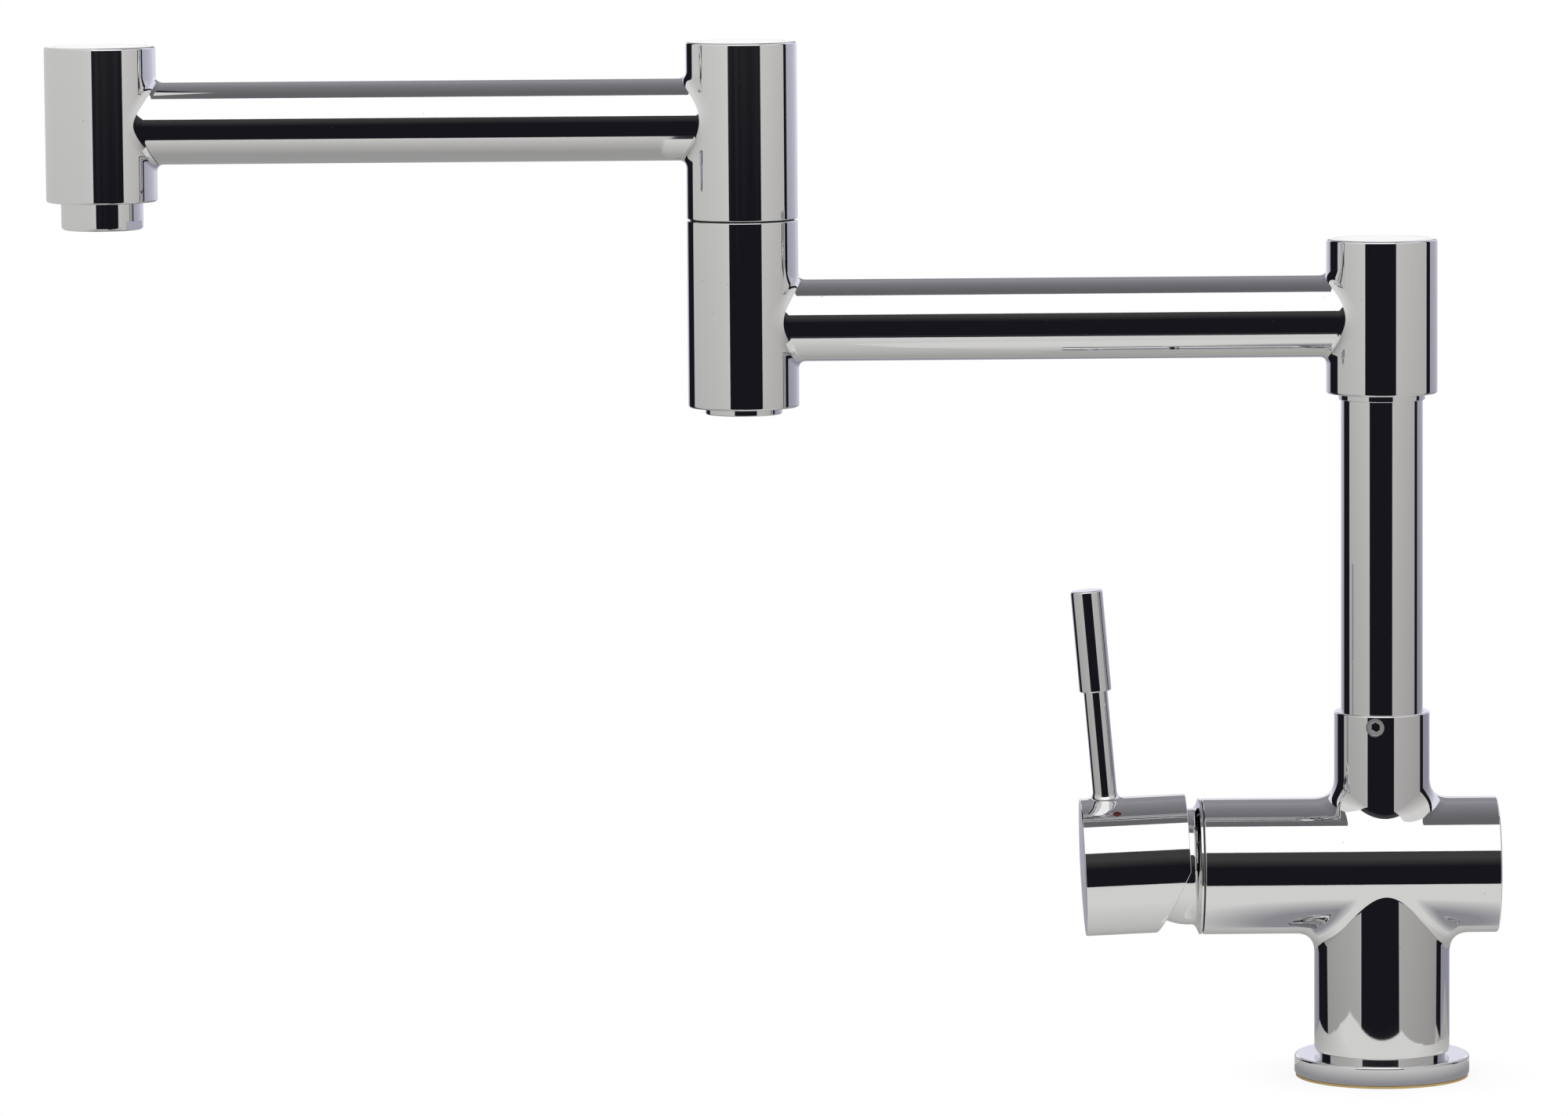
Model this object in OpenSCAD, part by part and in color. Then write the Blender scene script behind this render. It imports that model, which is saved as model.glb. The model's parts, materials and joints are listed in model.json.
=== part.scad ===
// Deck-mounted single-lever kitchen mixer with a double-jointed swing spout.
// Origin: centre of the deck face under the column. +Z is up, the spout reaches towards -X.

/* [Base] */
// Diameter of the flange that stands on the deck
flange_d = 60.2; // [54:0.2:70]
// Height of the flange above its gasket
flange_h = 6.7; // [5:0.1:12]
// Rounding of the flange's edges
flange_round = 0.9; // [0.3:0.1:1.6]
// Thickness of the gasket under the flange
gasket_h = 0.8; // [0.5:0.1:2]
// How far the gasket stays inside the flange's edge
gasket_inset = 0.4; // [0.2:0.1:2]
// Diameter of the body's foot, which passes through the flange
foot_d = 40; // [38:0.2:42]
// Diameter of the recess in the foot, where the hoses come up
recess_d = 34; // [33:0.2:35]
// Depth of that recess
recess_h = 20; // [16:0.5:30]
// Tapping bore of the two hose ports
port_d = 9; // [8:0.1:10]
// Depth of the hose ports' thread
port_h = 12; // [10:0.5:16]
// Distance between the two hose ports
port_gap = 17; // [15:0.5:18]
// Distance of the ports behind the column's axis, towards the lever
port_shift = 5; // [3:0.5:6]
// Tapping bore of the mounting stud's hole
stud_d = 6.8; // [5:0.1:8]
// Depth of the stud's thread
stud_h = 14; // [10:0.5:18]
// Distance of the stud's hole from the column's axis
stud_shift = 9; // [8:0.5:11]

/* [Body] */
// Diameter of the upright stem
stem_d = 46.5; // [45:0.1:46.7]
// Diameter of the shadow groove between flange and stem
neck_d = 44.4; // [42:0.1:45]
// Height of that groove
neck_h = 1.5; // [0.8:0.1:3]
// Diameter of the horizontal barrel
barrel_d = 46.8; // [46.8:0.1:50]
// Height of the barrel's axis above the deck
barrel_z = 73.15; // [68:0.05:90]
// Length of the barrel from the column's axis towards the lever
barrel_left = 62; // [60:0.5:70]
// Length of the barrel from the column's axis to its closed end
barrel_right = 39.5; // [34:0.5:50]
// Rounding of the barrel's ends
barrel_round = 0.5; // [0.2:0.1:1]
// Wall of the collar round the riser
collar_wall = 2.35; // [2:0.05:4]
// Height of the collar's rim above the deck
collar_top = 126.8; // [122:0.1:140]
// Rounding of the collar's rim
collar_round = 1; // [0.4:0.1:1.4]
// Depth of the riser's socket in the collar
socket_h = 26; // [25:0.5:28]
// Reach of the blend between the barrel and its branches
body_blend = 4.5; // [2:0.1:6]

/* [Cartridge] */
// Diameter of the cartridge
cartridge_d = 34.8; // [34:0.1:35.6]
// Depth of the cartridge's seat behind the barrel's mouth
seat_h = 24; // [23:0.5:25]
// Bore of the passages between the ports and the cartridge
passage_d = 7; // [5:0.1:8]
// Thickness of the passage seals
seal_h = 1; // [0.6:0.1:1.4]
// Thickness of the cartridge's base
base_h = 4; // [3:0.1:5]
// Diameter of the fixed ceramic disc
fixed_disc_d = 28; // [26:0.1:28.2]
// Thickness of each ceramic disc
disc_h = 3.2; // [2.6:0.1:3.6]
// Diameter of the sliding ceramic disc
moving_disc_d = 22; // [21:0.1:22.4]
// Height of the driver on the sliding disc
driver_h = 2.8; // [2.4:0.1:3]
// Diameter of the rotor that turns in the cartridge
rotor_d = 25.8; // [25:0.1:26]
// Width across the square spindle
spindle_w = 6; // [5:0.1:7]
// Diameter of the spindle's pivot pin
pin_d = 3; // [2:0.1:4]
// Depth of the cartridge nut in the barrel's mouth
nut_h = 5; // [4:0.1:6]
// Diameter of the cartridge nut
nut_d = 40; // [38:0.1:41]

/* [Lever] */
// Distance from the barrel's mouth to the lever's pivot
pivot_out = 4.8; // [4.4:0.1:5.4]
// Height of the ball-shaped bonnet over the lip of the cartridge nut
bonnet_out = 4.1; // [3.8:0.05:4.5]
// Wall of the bonnet
bonnet_wall = 1.5; // [1.2:0.1:1.7]
// Width of the bonnet's rim
rim_w = 0.9; // [0.6:0.1:1.2]
// Width of the ring between barrel and bonnet
ring_w = 0.4; // [0.3:0.1:0.6]
// Gap between the bonnet and the lever's cap
cap_gap = 0.65; // [0.55:0.05:1]
// Length of the cap beyond the pivot
cap_l = 36.2; // [34:0.1:40]
// Wall of the cap round the bonnet
cap_wall = 3; // [2.4:0.1:3.3]
// Crown of the cap's end face
cap_crown = 0.7; // [0.3:0.1:1.5]
// Lean of the cap when the water is off, in degrees
cap_lean = 2.4; // [0:0.1:3]
// Rise of the cap above the barrel's axis at the pivot
cap_rise = 1.45; // [0:0.05:1.6]
// Angle of the cut under the cap, which clears the barrel, in degrees
cut_angle = 27; // [26.5:0.5:32]
// Travel of the lever, in degrees
lift_angle = 22; // [18:0.5:22]
// Distance of the lever's rod from the pivot along the cap
rod_place = 26.3; // [24:0.1:29]
// Diameter of the lever's rod
rod_d = 8.2; // [7.6:0.1:9]
// Length of the lever's rod between cap and grip
rod_l = 37.4; // [30:0.1:50]
// Lean of the rod against the cap, in degrees
rod_lean = 2.6; // [0:0.1:5]
// Diameter of the grip
grip_d = 11; // [10:0.1:13]
// Length of the grip
grip_l = 35; // [30:0.5:50]
// Diameter of the temperature marks
mark_d = 2.8; // [2:0.1:3.2]

/* [Spout] */
// Diameter of the riser and of the arms
tube_d = 28; // [25:0.1:31]
// Wall of the riser and of the arms
tube_wall = 1.5; // [1:0.1:2]
// How far a hub stands out round the tube
hub_out = 5; // [4.8:0.1:7]
// Wall of the hubs
hub_wall = 3; // [2.6:0.1:3.4]
// Height of the hubs at the column and at the outlet
hub_h = 53; // [50:0.5:60]
// Height of the column hub's lower edge above the deck
hub_z = 236.5; // [220:0.5:300]
// Distance between the axes at the two ends of an arm
arm_l = 218.5; // [180:0.5:260]
// Rise of the upper arm's axis above the lower arm's
arm_rise = 69; // [68.5:0.5:80]
// Height of the joint's seam above the lower arm's axis
seam_up = 34.8; // [33:0.1:36]
// Width of the joint's seam
seam_w = 0.5; // [0.3:0.1:1]
// Depth of the elbow hub below the lower arm's axis
elbow_down = 29.5; // [28:0.1:31]
// Rounding of the hubs' edges
hub_round = 0.8; // [0.3:0.1:1.4]
// Thickness of the lids in the hubs
lid_h = 3; // [2:0.1:4]
// Blend between arm and hub, along the arm
blend_arm = 2.4; // [1:0.1:6]
// Blend between arm and hub, up and down the hub
blend_hub = 2.8; // [1.5:0.1:8]
// How far the ring under the column hub stands out round the riser
riser_ring_out = 0.8; // [0.5:0.1:1.5]
// Height of the ring under the column hub
riser_ring_h = 2.2; // [1:0.1:4]
// Wall of the elbow's bushes
bush_wall = 3; // [2.7:0.1:4]
// How far the nut under the elbow stands out round the spindle
elbow_nut_out = 1.15; // [0.5:0.05:2]
// Height of the nut under the elbow
elbow_nut_h = 2.1; // [1.5:0.1:4]
// Height of the aerator housing below the outlet hub
aerator_h = 9.5; // [8:0.1:14]
// Depth of the aerator's thread inside the line of the tube
aerator_thread_in = 2; // [1.8:0.1:3]

/* [Fits] */
// Radial running clearance of turning parts
running = 0.05; // [0.02:0.01:0.08]
// Radial clearance of seated parts
seated = 0.03; // [0.01:0.01:0.05]
// Axial play of a joint
play = 0.05; // [0.02:0.01:0.1]

/* [Hidden] */
$fn = 96;
// Overrun of a cut past the face that it opens
over = 0.5;
// Depth by which a blend's edges lie under the surfaces that it joins, so that they cross cleanly
sunk = 0.06;
// Steps round a blend and across it
blend_turns = 40;
blend_steps = 5;
// Steps of a small rounding
round_steps = 4;

flange_top = gasket_h + flange_h;
stem_z = flange_top + neck_h;
stem_r = stem_d / 2;
barrel_r = barrel_d / 2;
tube_r = tube_d / 2;
collar_r = tube_r + collar_wall;
foot_r = foot_d / 2;
recess_r = recess_d / 2;
tube_bore_r = tube_r - tube_wall;
hub_r = tube_r + hub_out;
hub_bore_r = hub_r - hub_wall;

// Cartridge, measured from the column's axis along the barrel
mouth = barrel_left;
seat = mouth - seat_h;
cartridge_r = cartridge_d / 2;
cartridge_bore_r = cartridge_r + seated;
passage_r = passage_d / 2;
outlet_r = passage_r * 1.4;
inlet_drop = passage_d;
outlet_up = passage_d;
base_z = seat + seal_h;
fixed_disc_z = base_z + base_h;
moving_disc_z = fixed_disc_z + disc_h + play;
driver_z = moving_disc_z + disc_h;
rotor_r = rotor_d / 2;
nut_z = mouth - nut_h;
nut_r = nut_d / 2;
nut_wall = 1.3;
neck_wall = 1.6;
housing_neck_r = rotor_r + running + neck_wall;
nut_bore_r = housing_neck_r + running;
nut_lip_r = nut_bore_r + nut_wall;
nut_lip_h = rim_w + ring_w + 1.5 * rim_w;
housing_pocket_r = fixed_disc_d / 2 + seated;
rotor_z = driver_z + driver_h + play;

// Lever, measured from the pivot
pivot = mouth + pivot_out;
bonnet_r = nut_lip_r + bonnet_out;
bonnet_d = 2 * bonnet_r;
bonnet_inner_r = bonnet_r - bonnet_wall;
cap_bore_r = bonnet_r + cap_gap;
cap_r = cap_bore_r + cap_wall;
rim_z = mouth + ring_w;
flare_z = rim_z + rim_w;
flare_end = pivot - 1.2 * rim_w;
bonnet_hole_r = bonnet_r * 0.64;
spindle_r = spindle_w / 2;
tip_r = spindle_r * 0.6;
driver_floor = driver_h * 0.15;
spindle_arm = pivot - driver_z - driver_floor - tip_r - 3 * play;
spindle_out = cap_l * 0.72;
spindle_lean = lift_angle / 2;
disc_travel = 2 * spindle_arm * sin(spindle_lean);
moving_pocket_r = moving_disc_d / 2 + disc_travel / 2 + 3 * running;
rotor_neck_r = rotor_r * 0.78;
rotor_top = pivot + pin_d * 1.35;
cap_bore_l = bonnet_r * 1.02;
pin_l = rotor_neck_r * 1.9;
cap_screw_d = 4;
cap_screw_r = cap_screw_d / 2;
cap_screw_place = spindle_out * 0.88;
spindle_in_cap = spindle_lean + cap_lean;
cap_screw_start = cap_rise - cap_screw_place * tan(spindle_in_cap) + spindle_r / cos(spindle_in_cap)
    + cap_screw_r * tan(spindle_in_cap) + play;
cap_screw_l = cap_r * 0.6;
stub_h = rod_d * 0.5;
tail_d = rod_d * 0.62;
tail_r = tail_d / 2;
tail_l = rod_d;
grip_round = 0.7;
grip_step = 0.6;
grip_tail_l = grip_l * 0.6;
rod_r = rod_d / 2;
grip_r = grip_d / 2;
rod_blend_arm = rod_d * 0.34;
rod_blend_cap = rod_d * 0.3;
mark_angle = 33;
mark_r = mark_d / 2;
mark_h = 1;
mark_depth = 1.5;
mark_place = rod_place - mark_d * 0.8;

// Riser
socket_r = tube_r + 2 * running;
socket_z = collar_top - socket_h;
riser_z = socket_z + 4 * play;
riser_tube_z = collar_top - collar_round - 0.2 * collar_round;
riser_foot_bore_r = tube_r * 0.65;
riser_tenon_h = tube_wall * 5;
riser_tube_top = hub_z + hub_h * 0.18;
riser_sleeve_r = hub_bore_r;
seal_r = 1.05;
seal_groove_h = 2.5 * seal_r;
seal_places = [0.32, 0.5];
glide_h = 4;
glide_up = 1.2;
glide_wall = 1.8;
screw_d = 6.1;
screw_r = screw_d / 2;
screw_z = collar_top - 4;
screw_angle = 12.5;
screw_tip_r = screw_r * 0.55;
screw_hole_r = screw_r + seated;
screw_inner = tube_r + 3 * running;
screw_tip_in = tube_r * 0.86;
screw_groove_r = tube_r * 0.82;
screw_groove_h = screw_tip_r * 2.4;
screw_outer = collar_r - 0.9;
key_w = 3;
key_h = 1.6;

// Spout
lower_arm_z = hub_z + hub_h / 2;
upper_arm_z = lower_arm_z + arm_rise;
outlet_x = -2 * arm_l;
elbow_x = -arm_l;
outlet_hub_z = upper_arm_z - hub_h / 2;
spout_top = outlet_hub_z + hub_h;
elbow_bottom = lower_arm_z - elbow_down;
seam_z = lower_arm_z + seam_up;
elbow_lower_top = seam_z - seam_w / 2;
elbow_upper_bottom = seam_z + seam_w / 2;
elbow_bore_r = hub_r - hub_wall * 4 / 3;
column_lid_z = hub_z + hub_h - lid_h;
upper_lid_z = spout_top - lid_h;
elbow_spindle_r = elbow_bore_r - bush_wall;
elbow_land_r = elbow_bore_r - running;
elbow_land_h = 5;
elbow_flow_r = elbow_spindle_r * 0.66;
elbow_window_r = elbow_spindle_r * 0.4;
spindle_bottom = elbow_bottom + 0.7;
spindle_top = elbow_upper_bottom + tube_r;
bush_h = 9;
washer_h = 0.25;
elbow_nut_r = elbow_spindle_r + elbow_nut_out;
elbow_nut_z = elbow_bottom - washer_h - play - elbow_nut_h;
elbow_tail_r = elbow_flow_r - seated;
elbow_tail_h = 12;
upper_land_z = lower_arm_z + tube_bore_r + 0.5;
lower_land_z = lower_arm_z - tube_bore_r - 0.5 - elbow_land_h;
glide_washer_h = seam_w - play;
glide_washer_inset = 1.2;

// Outlet
thread_r = tube_r - aerator_thread_in;
outlet_floor = lid_h * 2;
aerator_r = tube_r;
aerator_z = outlet_hub_z - aerator_h;
aerator_bore_r = thread_r - 1.6;
aerator_lip_r = aerator_bore_r - 1.2;
aerator_lip_h = 1.4;
aerator_flat = aerator_r - 0.76;
aerator_flat_h = aerator_h * 0.34;
aerator_turn = 31;
aerator_round = 1.4;
insert_h = aerator_h * 0.9;
insert_hole_r = 0.85;
insert_pitch = 3.2;
insert_rings = 2;
washer_ring_h = 1.5;

// Points of a quarter round between two edges, seen in half section
function quarter(cx, cy, r, from) =
    [for (i = [0 : round_steps])
        let (a = from + 90 * i / round_steps)
        [cx + r * cos(a), cy + r * sin(a)]];

// A bar turned about Z from z = 0, with its lower and upper edges rounded
module rounded_bar(r, h, low, top) {
    rotate_extrude()
        polygon(concat(
            [[0, 0]],
            quarter(r - low, low, low, -90),
            quarter(r - top, h - top, top, 0),
            [[0, h]]));
}

// A plain ring about Z from z = 0
module ring(outer, bore, h) {
    difference() {
        cylinder(r = outer, h = h);
        translate([0, 0, -over]) cylinder(r = bore, h = h + 2 * over);
    }
}

// Rings of a seal with a round section, about Z
module seal_ring(mid_r, r) {
    rotate_extrude() translate([mid_r, 0]) circle(r = r, $fn = 24);
}

// Half-width of a main cylinder of radius big at the side distance y
function side_of(big, y) = sqrt(max(big * big - y * y, 0));

// One rib of the blend where a branch along +X, of radius small, leaves a main cylinder about Z.
// It runs from the branch, reach along it, to the main cylinder, spread up it, in a curve that
// touches both, and closes under their surfaces.
function blend_rib(small, big, reach, spread, turn) =
    let (
        c = cos(turn),
        s = sin(turn),
        wide = spread * c * c + min(spread, 0.55 * (big - small)) * s * s,
        along = reach * c * c + min(reach, 0.9 * wide) * s * s,
        corner = [side_of(big, small * s), small * s, small * c],
        on_branch = [corner[0] + along, small * s, small * c],
        far = small + wide,
        on_main = [side_of(big, far * s), far * s, far * c],
        start = [on_branch[0] + sunk, (small - sunk) * s, (small - sunk) * c],
        end = [on_main[0] - sunk, on_main[1], on_main[2] + sunk * c],
        under = small - 0.9 * wide,
        inside = [side_of(big, small * s) - 0.9 * wide - sunk, under * s, under * c]
    )
    concat(
        [start],
        [for (i = [0 : blend_steps])
            let (t = i / blend_steps)
            (1 - t) * (1 - t) * on_branch + 2 * t * (1 - t) * corner + t * t * on_main],
        [end, inside]
    );

// Closed ring of such ribs
module blend(small, big, reach, spread) {
    n = blend_steps + 4;
    points = [for (k = [0 : blend_turns - 1])
        each blend_rib(small - sunk, big - sunk, reach, spread, 360 * k / blend_turns)];
    faces = [for (k = [0 : blend_turns - 1], i = [0 : n - 1])
        let (
            a = k * n + i,
            b = k * n + (i + 1) % n,
            c = ((k + 1) % blend_turns) * n + (i + 1) % n,
            d = ((k + 1) % blend_turns) * n + i
        )
        each [[a, b, c], [a, c, d]]];
    polyhedron(points = points, faces = faces);
}

// Turns the barrel's own frame into place: its Z runs along the barrel to the lever, its X is up
module on_barrel() {
    translate([0, 0, barrel_z]) rotate([0, -90, 0]) children();
}

// The cap's own frame at rest: Z from the pivot along the cap, X up
module on_cap() {
    on_barrel() translate([0, 0, pivot]) rotate([0, -cap_lean, 0]) translate([cap_rise, 0, 0]) children();
}

// The spindle's own frame at rest: Z from the pivot outwards, leaning up as far as it leans down when open
module on_spindle() {
    on_barrel() translate([0, 0, pivot]) rotate([0, spindle_lean, 0]) children();
}

// The rod's own frame: Z up from the cap's skin
module on_rod() {
    on_cap() translate([0, 0, rod_place]) rotate([0, 90 - rod_lean, 0]) children();
}

// Rubber gasket under the flange
module deck_gasket() {
    color("darkgoldenrod") ring(flange_d / 2 - gasket_inset, foot_r + gasket_inset, gasket_h);
}

// Flange on the deck, bored for the body's foot
module base_flange() {
    color("silver") translate([0, 0, gasket_h]) difference() {
        rounded_bar(flange_d / 2, flange_h, flange_round, flange_round);
        translate([0, 0, -over]) cylinder(r = foot_r + seated, h = flange_h + 2 * over);
    }
}

// Outer form of the body: foot, stem, barrel and collar in one casting
module body_form() {
    cylinder(r = foot_r, h = flange_top + neck_h);
    translate([0, 0, flange_top]) cylinder(r = neck_d / 2, h = neck_h + stem_r);
    translate([0, 0, stem_z]) rounded_bar(stem_r, barrel_z - stem_z, flange_round / 3, flange_round / 3);
    on_barrel() translate([0, 0, -barrel_right])
        rounded_bar(barrel_r, barrel_left + barrel_right, barrel_round, barrel_round);
    translate([0, 0, barrel_z]) rounded_bar(collar_r, collar_top - barrel_z, collar_round, collar_round);
    translate([0, 0, barrel_z]) rotate([0, -90, 0]) blend(collar_r, barrel_r, body_blend, body_blend);
    translate([0, 0, barrel_z]) rotate([0, 90, 0]) blend(stem_r, barrel_r, body_blend, body_blend);
}

// Water ways in the body: hose ports, passages to the cartridge and up to the riser
module body_ways() {
    translate([0, 0, -over]) cylinder(r = recess_r, h = recess_h + over);
    translate([stud_shift, 0, recess_h - over]) cylinder(r = stud_d / 2, h = stud_h + over);
    for (side = [-1, 1]) {
        translate([-port_shift, side * port_gap / 2, recess_h - over])
            cylinder(r = port_d / 2, h = port_h + over);
        translate([-port_shift, side * port_gap / 2, recess_h])
            cylinder(r = passage_r, h = barrel_z - inlet_drop - recess_h);
        on_barrel() translate([-inlet_drop, side * port_gap / 2, port_shift])
            cylinder(r = passage_r, h = seat - port_shift + over);
    }
    on_barrel() translate([outlet_up, 0, -outlet_r]) cylinder(r = outlet_r, h = seat + outlet_r + over);
    translate([0, 0, barrel_z + outlet_up])
        cylinder(r = outlet_r, h = socket_z - barrel_z - outlet_up + over);
}

// One casting: foot, stem, barrel and collar, with its seats and water ways
module mixer_body() {
    color("silver") difference() {
        body_form();
        body_ways();
        on_barrel() translate([0, 0, seat]) cylinder(r = cartridge_bore_r, h = seat_h + over);
        on_barrel() translate([0, 0, nut_z]) cylinder(r = nut_r + seated, h = nut_h + over);
        translate([0, 0, socket_z]) cylinder(r = socket_r, h = socket_h + over);
        on_screw() translate([0, 0, screw_inner - over - running]) cylinder(r = screw_hole_r, h = collar_r);
    }
}

// The set screw's own frame: Z runs outwards along the screw
module on_screw() {
    translate([0, 0, screw_z]) rotate([0, 0, -90 - screw_angle]) rotate([0, 90, 0]) children();
}

// Set screw with a plain tip, which keeps the riser in its socket
module spout_screw() {
    color("dimgray") on_screw() difference() {
        union() {
            translate([0, 0, screw_inner]) cylinder(r = screw_r, h = screw_outer - screw_inner);
            translate([0, 0, screw_tip_in]) cylinder(r = screw_tip_r, h = screw_outer - screw_tip_in);
        }
        translate([0, 0, screw_outer - key_h]) cylinder(d = key_w, h = key_h + over, $fn = 6);
    }
}

// The two inlets and the outlet at the cartridge's seat, in the barrel's frame
module at_passages() {
    for (side = [-1, 1]) translate([-inlet_drop, side * port_gap / 2, 0]) children(0);
    translate([outlet_up, 0, 0]) children(1);
}

// Three seals round the passages
module cartridge_seals() {
    color("dimgray") on_barrel() translate([0, 0, seat]) at_passages() {
        ring(passage_r * 1.3, passage_r, seal_h);
        ring(outlet_r * 1.25, outlet_r, seal_h);
    }
}

// Plastic base of the cartridge
module cartridge_base() {
    color("white") on_barrel() translate([0, 0, base_z]) difference() {
        cylinder(r = cartridge_r, h = base_h);
        translate([0, 0, -over]) at_passages() {
            cylinder(r = passage_r, h = base_h + 2 * over);
            cylinder(r = outlet_r, h = base_h + 2 * over);
        }
    }
}

// Ceramic disc that stays still
module fixed_disc() {
    color("ghostwhite") on_barrel() translate([0, 0, fixed_disc_z]) difference() {
        cylinder(r = fixed_disc_d / 2, h = disc_h);
        translate([0, 0, -over]) at_passages() {
            cylinder(r = passage_r * 0.8, h = disc_h + 2 * over);
            cylinder(r = passage_r, h = disc_h + 2 * over);
        }
    }
}

// Housing of the cartridge: a cup round the discs with a neck for the rotor
module cartridge_housing() {
    color("white") on_barrel() difference() {
        union() {
            translate([0, 0, fixed_disc_z]) cylinder(r = cartridge_r, h = nut_z - fixed_disc_z);
            translate([0, 0, fixed_disc_z]) cylinder(r = housing_neck_r, h = mouth - fixed_disc_z);
        }
        translate([0, 0, fixed_disc_z - over]) cylinder(r = housing_pocket_r, h = disc_h + over);
        translate([0, 0, fixed_disc_z + disc_h])
            cylinder(r = moving_pocket_r, h = rotor_z - fixed_disc_z - disc_h);
        translate([0, 0, fixed_disc_z]) cylinder(r = rotor_r + running, h = mouth - fixed_disc_z + over);
    }
}

// Nut that holds the cartridge down, with a threaded lip for the bonnet
module cartridge_nut() {
    color("goldenrod") on_barrel() difference() {
        union() {
            translate([0, 0, nut_z]) cylinder(r = nut_r, h = nut_h);
            translate([0, 0, nut_z]) cylinder(r = nut_lip_r, h = nut_h + nut_lip_h);
        }
        translate([0, 0, nut_z - over]) cylinder(r = nut_bore_r, h = nut_h + nut_lip_h + 2 * over);
    }
}

// Thin ring between the barrel's mouth and the bonnet
module bonnet_ring() {
    color("dimgray") on_barrel() translate([0, 0, mouth])
        ring(barrel_r - 2 * ring_w, nut_lip_r + seated, ring_w);
}

// Half section of the bonnet: rim, flare and ball
function flare_points() =
    [for (i = [0 : round_steps])
        let (t = i / round_steps)
        let (r = barrel_r - (barrel_r - bonnet_r) * (1 - pow(1 - t, 2)))
        [r, flare_z + (flare_end - flare_z) * pow(t, 1.2)]];

// Ball-shaped bonnet that screws on the nut and covers the cartridge
module bonnet() {
    color("silver") on_barrel() difference() {
        union() {
            translate([0, 0, rim_z]) cylinder(r = barrel_r, h = rim_w);
            rotate_extrude() polygon(concat([[0, flare_z]], flare_points(), [[0, flare_end]]));
            translate([0, 0, pivot]) difference() {
                sphere(r = bonnet_r);
                translate([0, 0, -bonnet_d - (pivot - flare_end)]) cylinder(r = bonnet_d, h = bonnet_d);
            }
        }
        translate([0, 0, pivot]) difference() {
            sphere(r = bonnet_inner_r);
            translate([0, 0, -bonnet_d - (pivot - mouth - nut_lip_h)]) cylinder(r = bonnet_d, h = bonnet_d);
        }
        translate([0, 0, rim_z - over]) cylinder(r = nut_lip_r + seated, h = pivot - rim_z);
        translate([0, 0, pivot]) cylinder(r = bonnet_hole_r, h = bonnet_d);
        translate([0, 0, rim_z - bonnet_d]) cylinder(r = bonnet_d, h = bonnet_d);
    }
}

// Rotor that turns with the lever and carries its pivot pin
module cartridge_rotor() {
    slot_h = 2 * (spindle_r + spindle_arm * tan(spindle_lean) + 2 * running);
    color("gainsboro") on_barrel() difference() {
        union() {
            translate([0, 0, rotor_z]) cylinder(r = rotor_r, h = mouth - rotor_z);
            translate([0, 0, rotor_z]) cylinder(r = rotor_neck_r, h = rotor_top - rotor_z);
        }
        translate([-slot_h / 2, -spindle_r - 2 * running, rotor_z - over])
            cube([slot_h, spindle_w + 4 * running, rotor_top - rotor_z + 2 * over]);
        translate([0, rotor_r, pivot]) rotate([90, 0, 0]) cylinder(r = pin_d / 2, h = rotor_d);
    }
}

// Pin on which the spindle tilts
module pivot_pin() {
    color("darkgray") on_barrel() translate([0, pin_l / 2, pivot]) rotate([90, 0, 0])
        cylinder(r = pin_d / 2, h = pin_l);
}

// Ceramic disc that slides and turns on the fixed one, shown shut
module moving_disc() {
    color("ghostwhite") on_driver() difference() {
        translate([0, 0, moving_disc_z]) cylinder(r = moving_disc_d / 2, h = disc_h);
        translate([0, 0, moving_disc_z - over]) cylinder(r = moving_disc_d / 4, h = disc_h / 2 + over);
    }
}

// Place of the sliding disc when the water is off: the spindle holds it low
module on_driver() {
    on_barrel() translate([-disc_travel / 2, 0, 0]) children();
}

// Driver on the sliding disc, with a slot for the spindle's tip
module disc_driver() {
    slot = 2 * (tip_r + 4 * running);
    color("white") on_driver() difference() {
        translate([0, 0, driver_z]) cylinder(r = moving_disc_d * 0.4, h = driver_h);
        translate([-slot / 2, -slot / 2, driver_z + driver_floor]) cube([slot, slot, driver_h]);
    }
}

// Square spindle with a round tip, drilled for the pin
module lever_spindle() {
    color("darkgray") on_spindle() difference() {
        union() {
            translate([-spindle_r, -spindle_r, -(spindle_arm - driver_h)])
                cube([spindle_w, spindle_w, spindle_out + spindle_arm - driver_h]);
            translate([0, 0, -spindle_arm]) cylinder(r = tip_r * 0.7, h = spindle_arm);
            translate([0, 0, -spindle_arm]) sphere(r = tip_r, $fn = 48);
        }
        translate([0, spindle_w, 0]) rotate([90, 0, 0]) cylinder(r = pin_d / 2 + running, h = 2 * spindle_w);
    }
}

// Outer form of the cap with its crowned face and the foot of the rod
module cap_form() {
    crown_r = (cap_r * cap_r + cap_crown * cap_crown) / (2 * cap_crown);
    intersection() {
        rounded_bar(cap_r, cap_l + cap_crown, barrel_round, barrel_round);
        translate([0, 0, cap_l + cap_crown - crown_r]) sphere(r = crown_r, $fn = 360);
    }
    translate([0, 0, rod_place]) rotate([0, 90 - rod_lean, 0]) cylinder(r = rod_r, h = cap_r + stub_h);
    translate([0, 0, rod_place + (cap_r + rod_blend_arm / 2) * tan(rod_lean)])
        blend(rod_r, cap_r, rod_blend_arm, rod_blend_cap);
}

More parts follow.
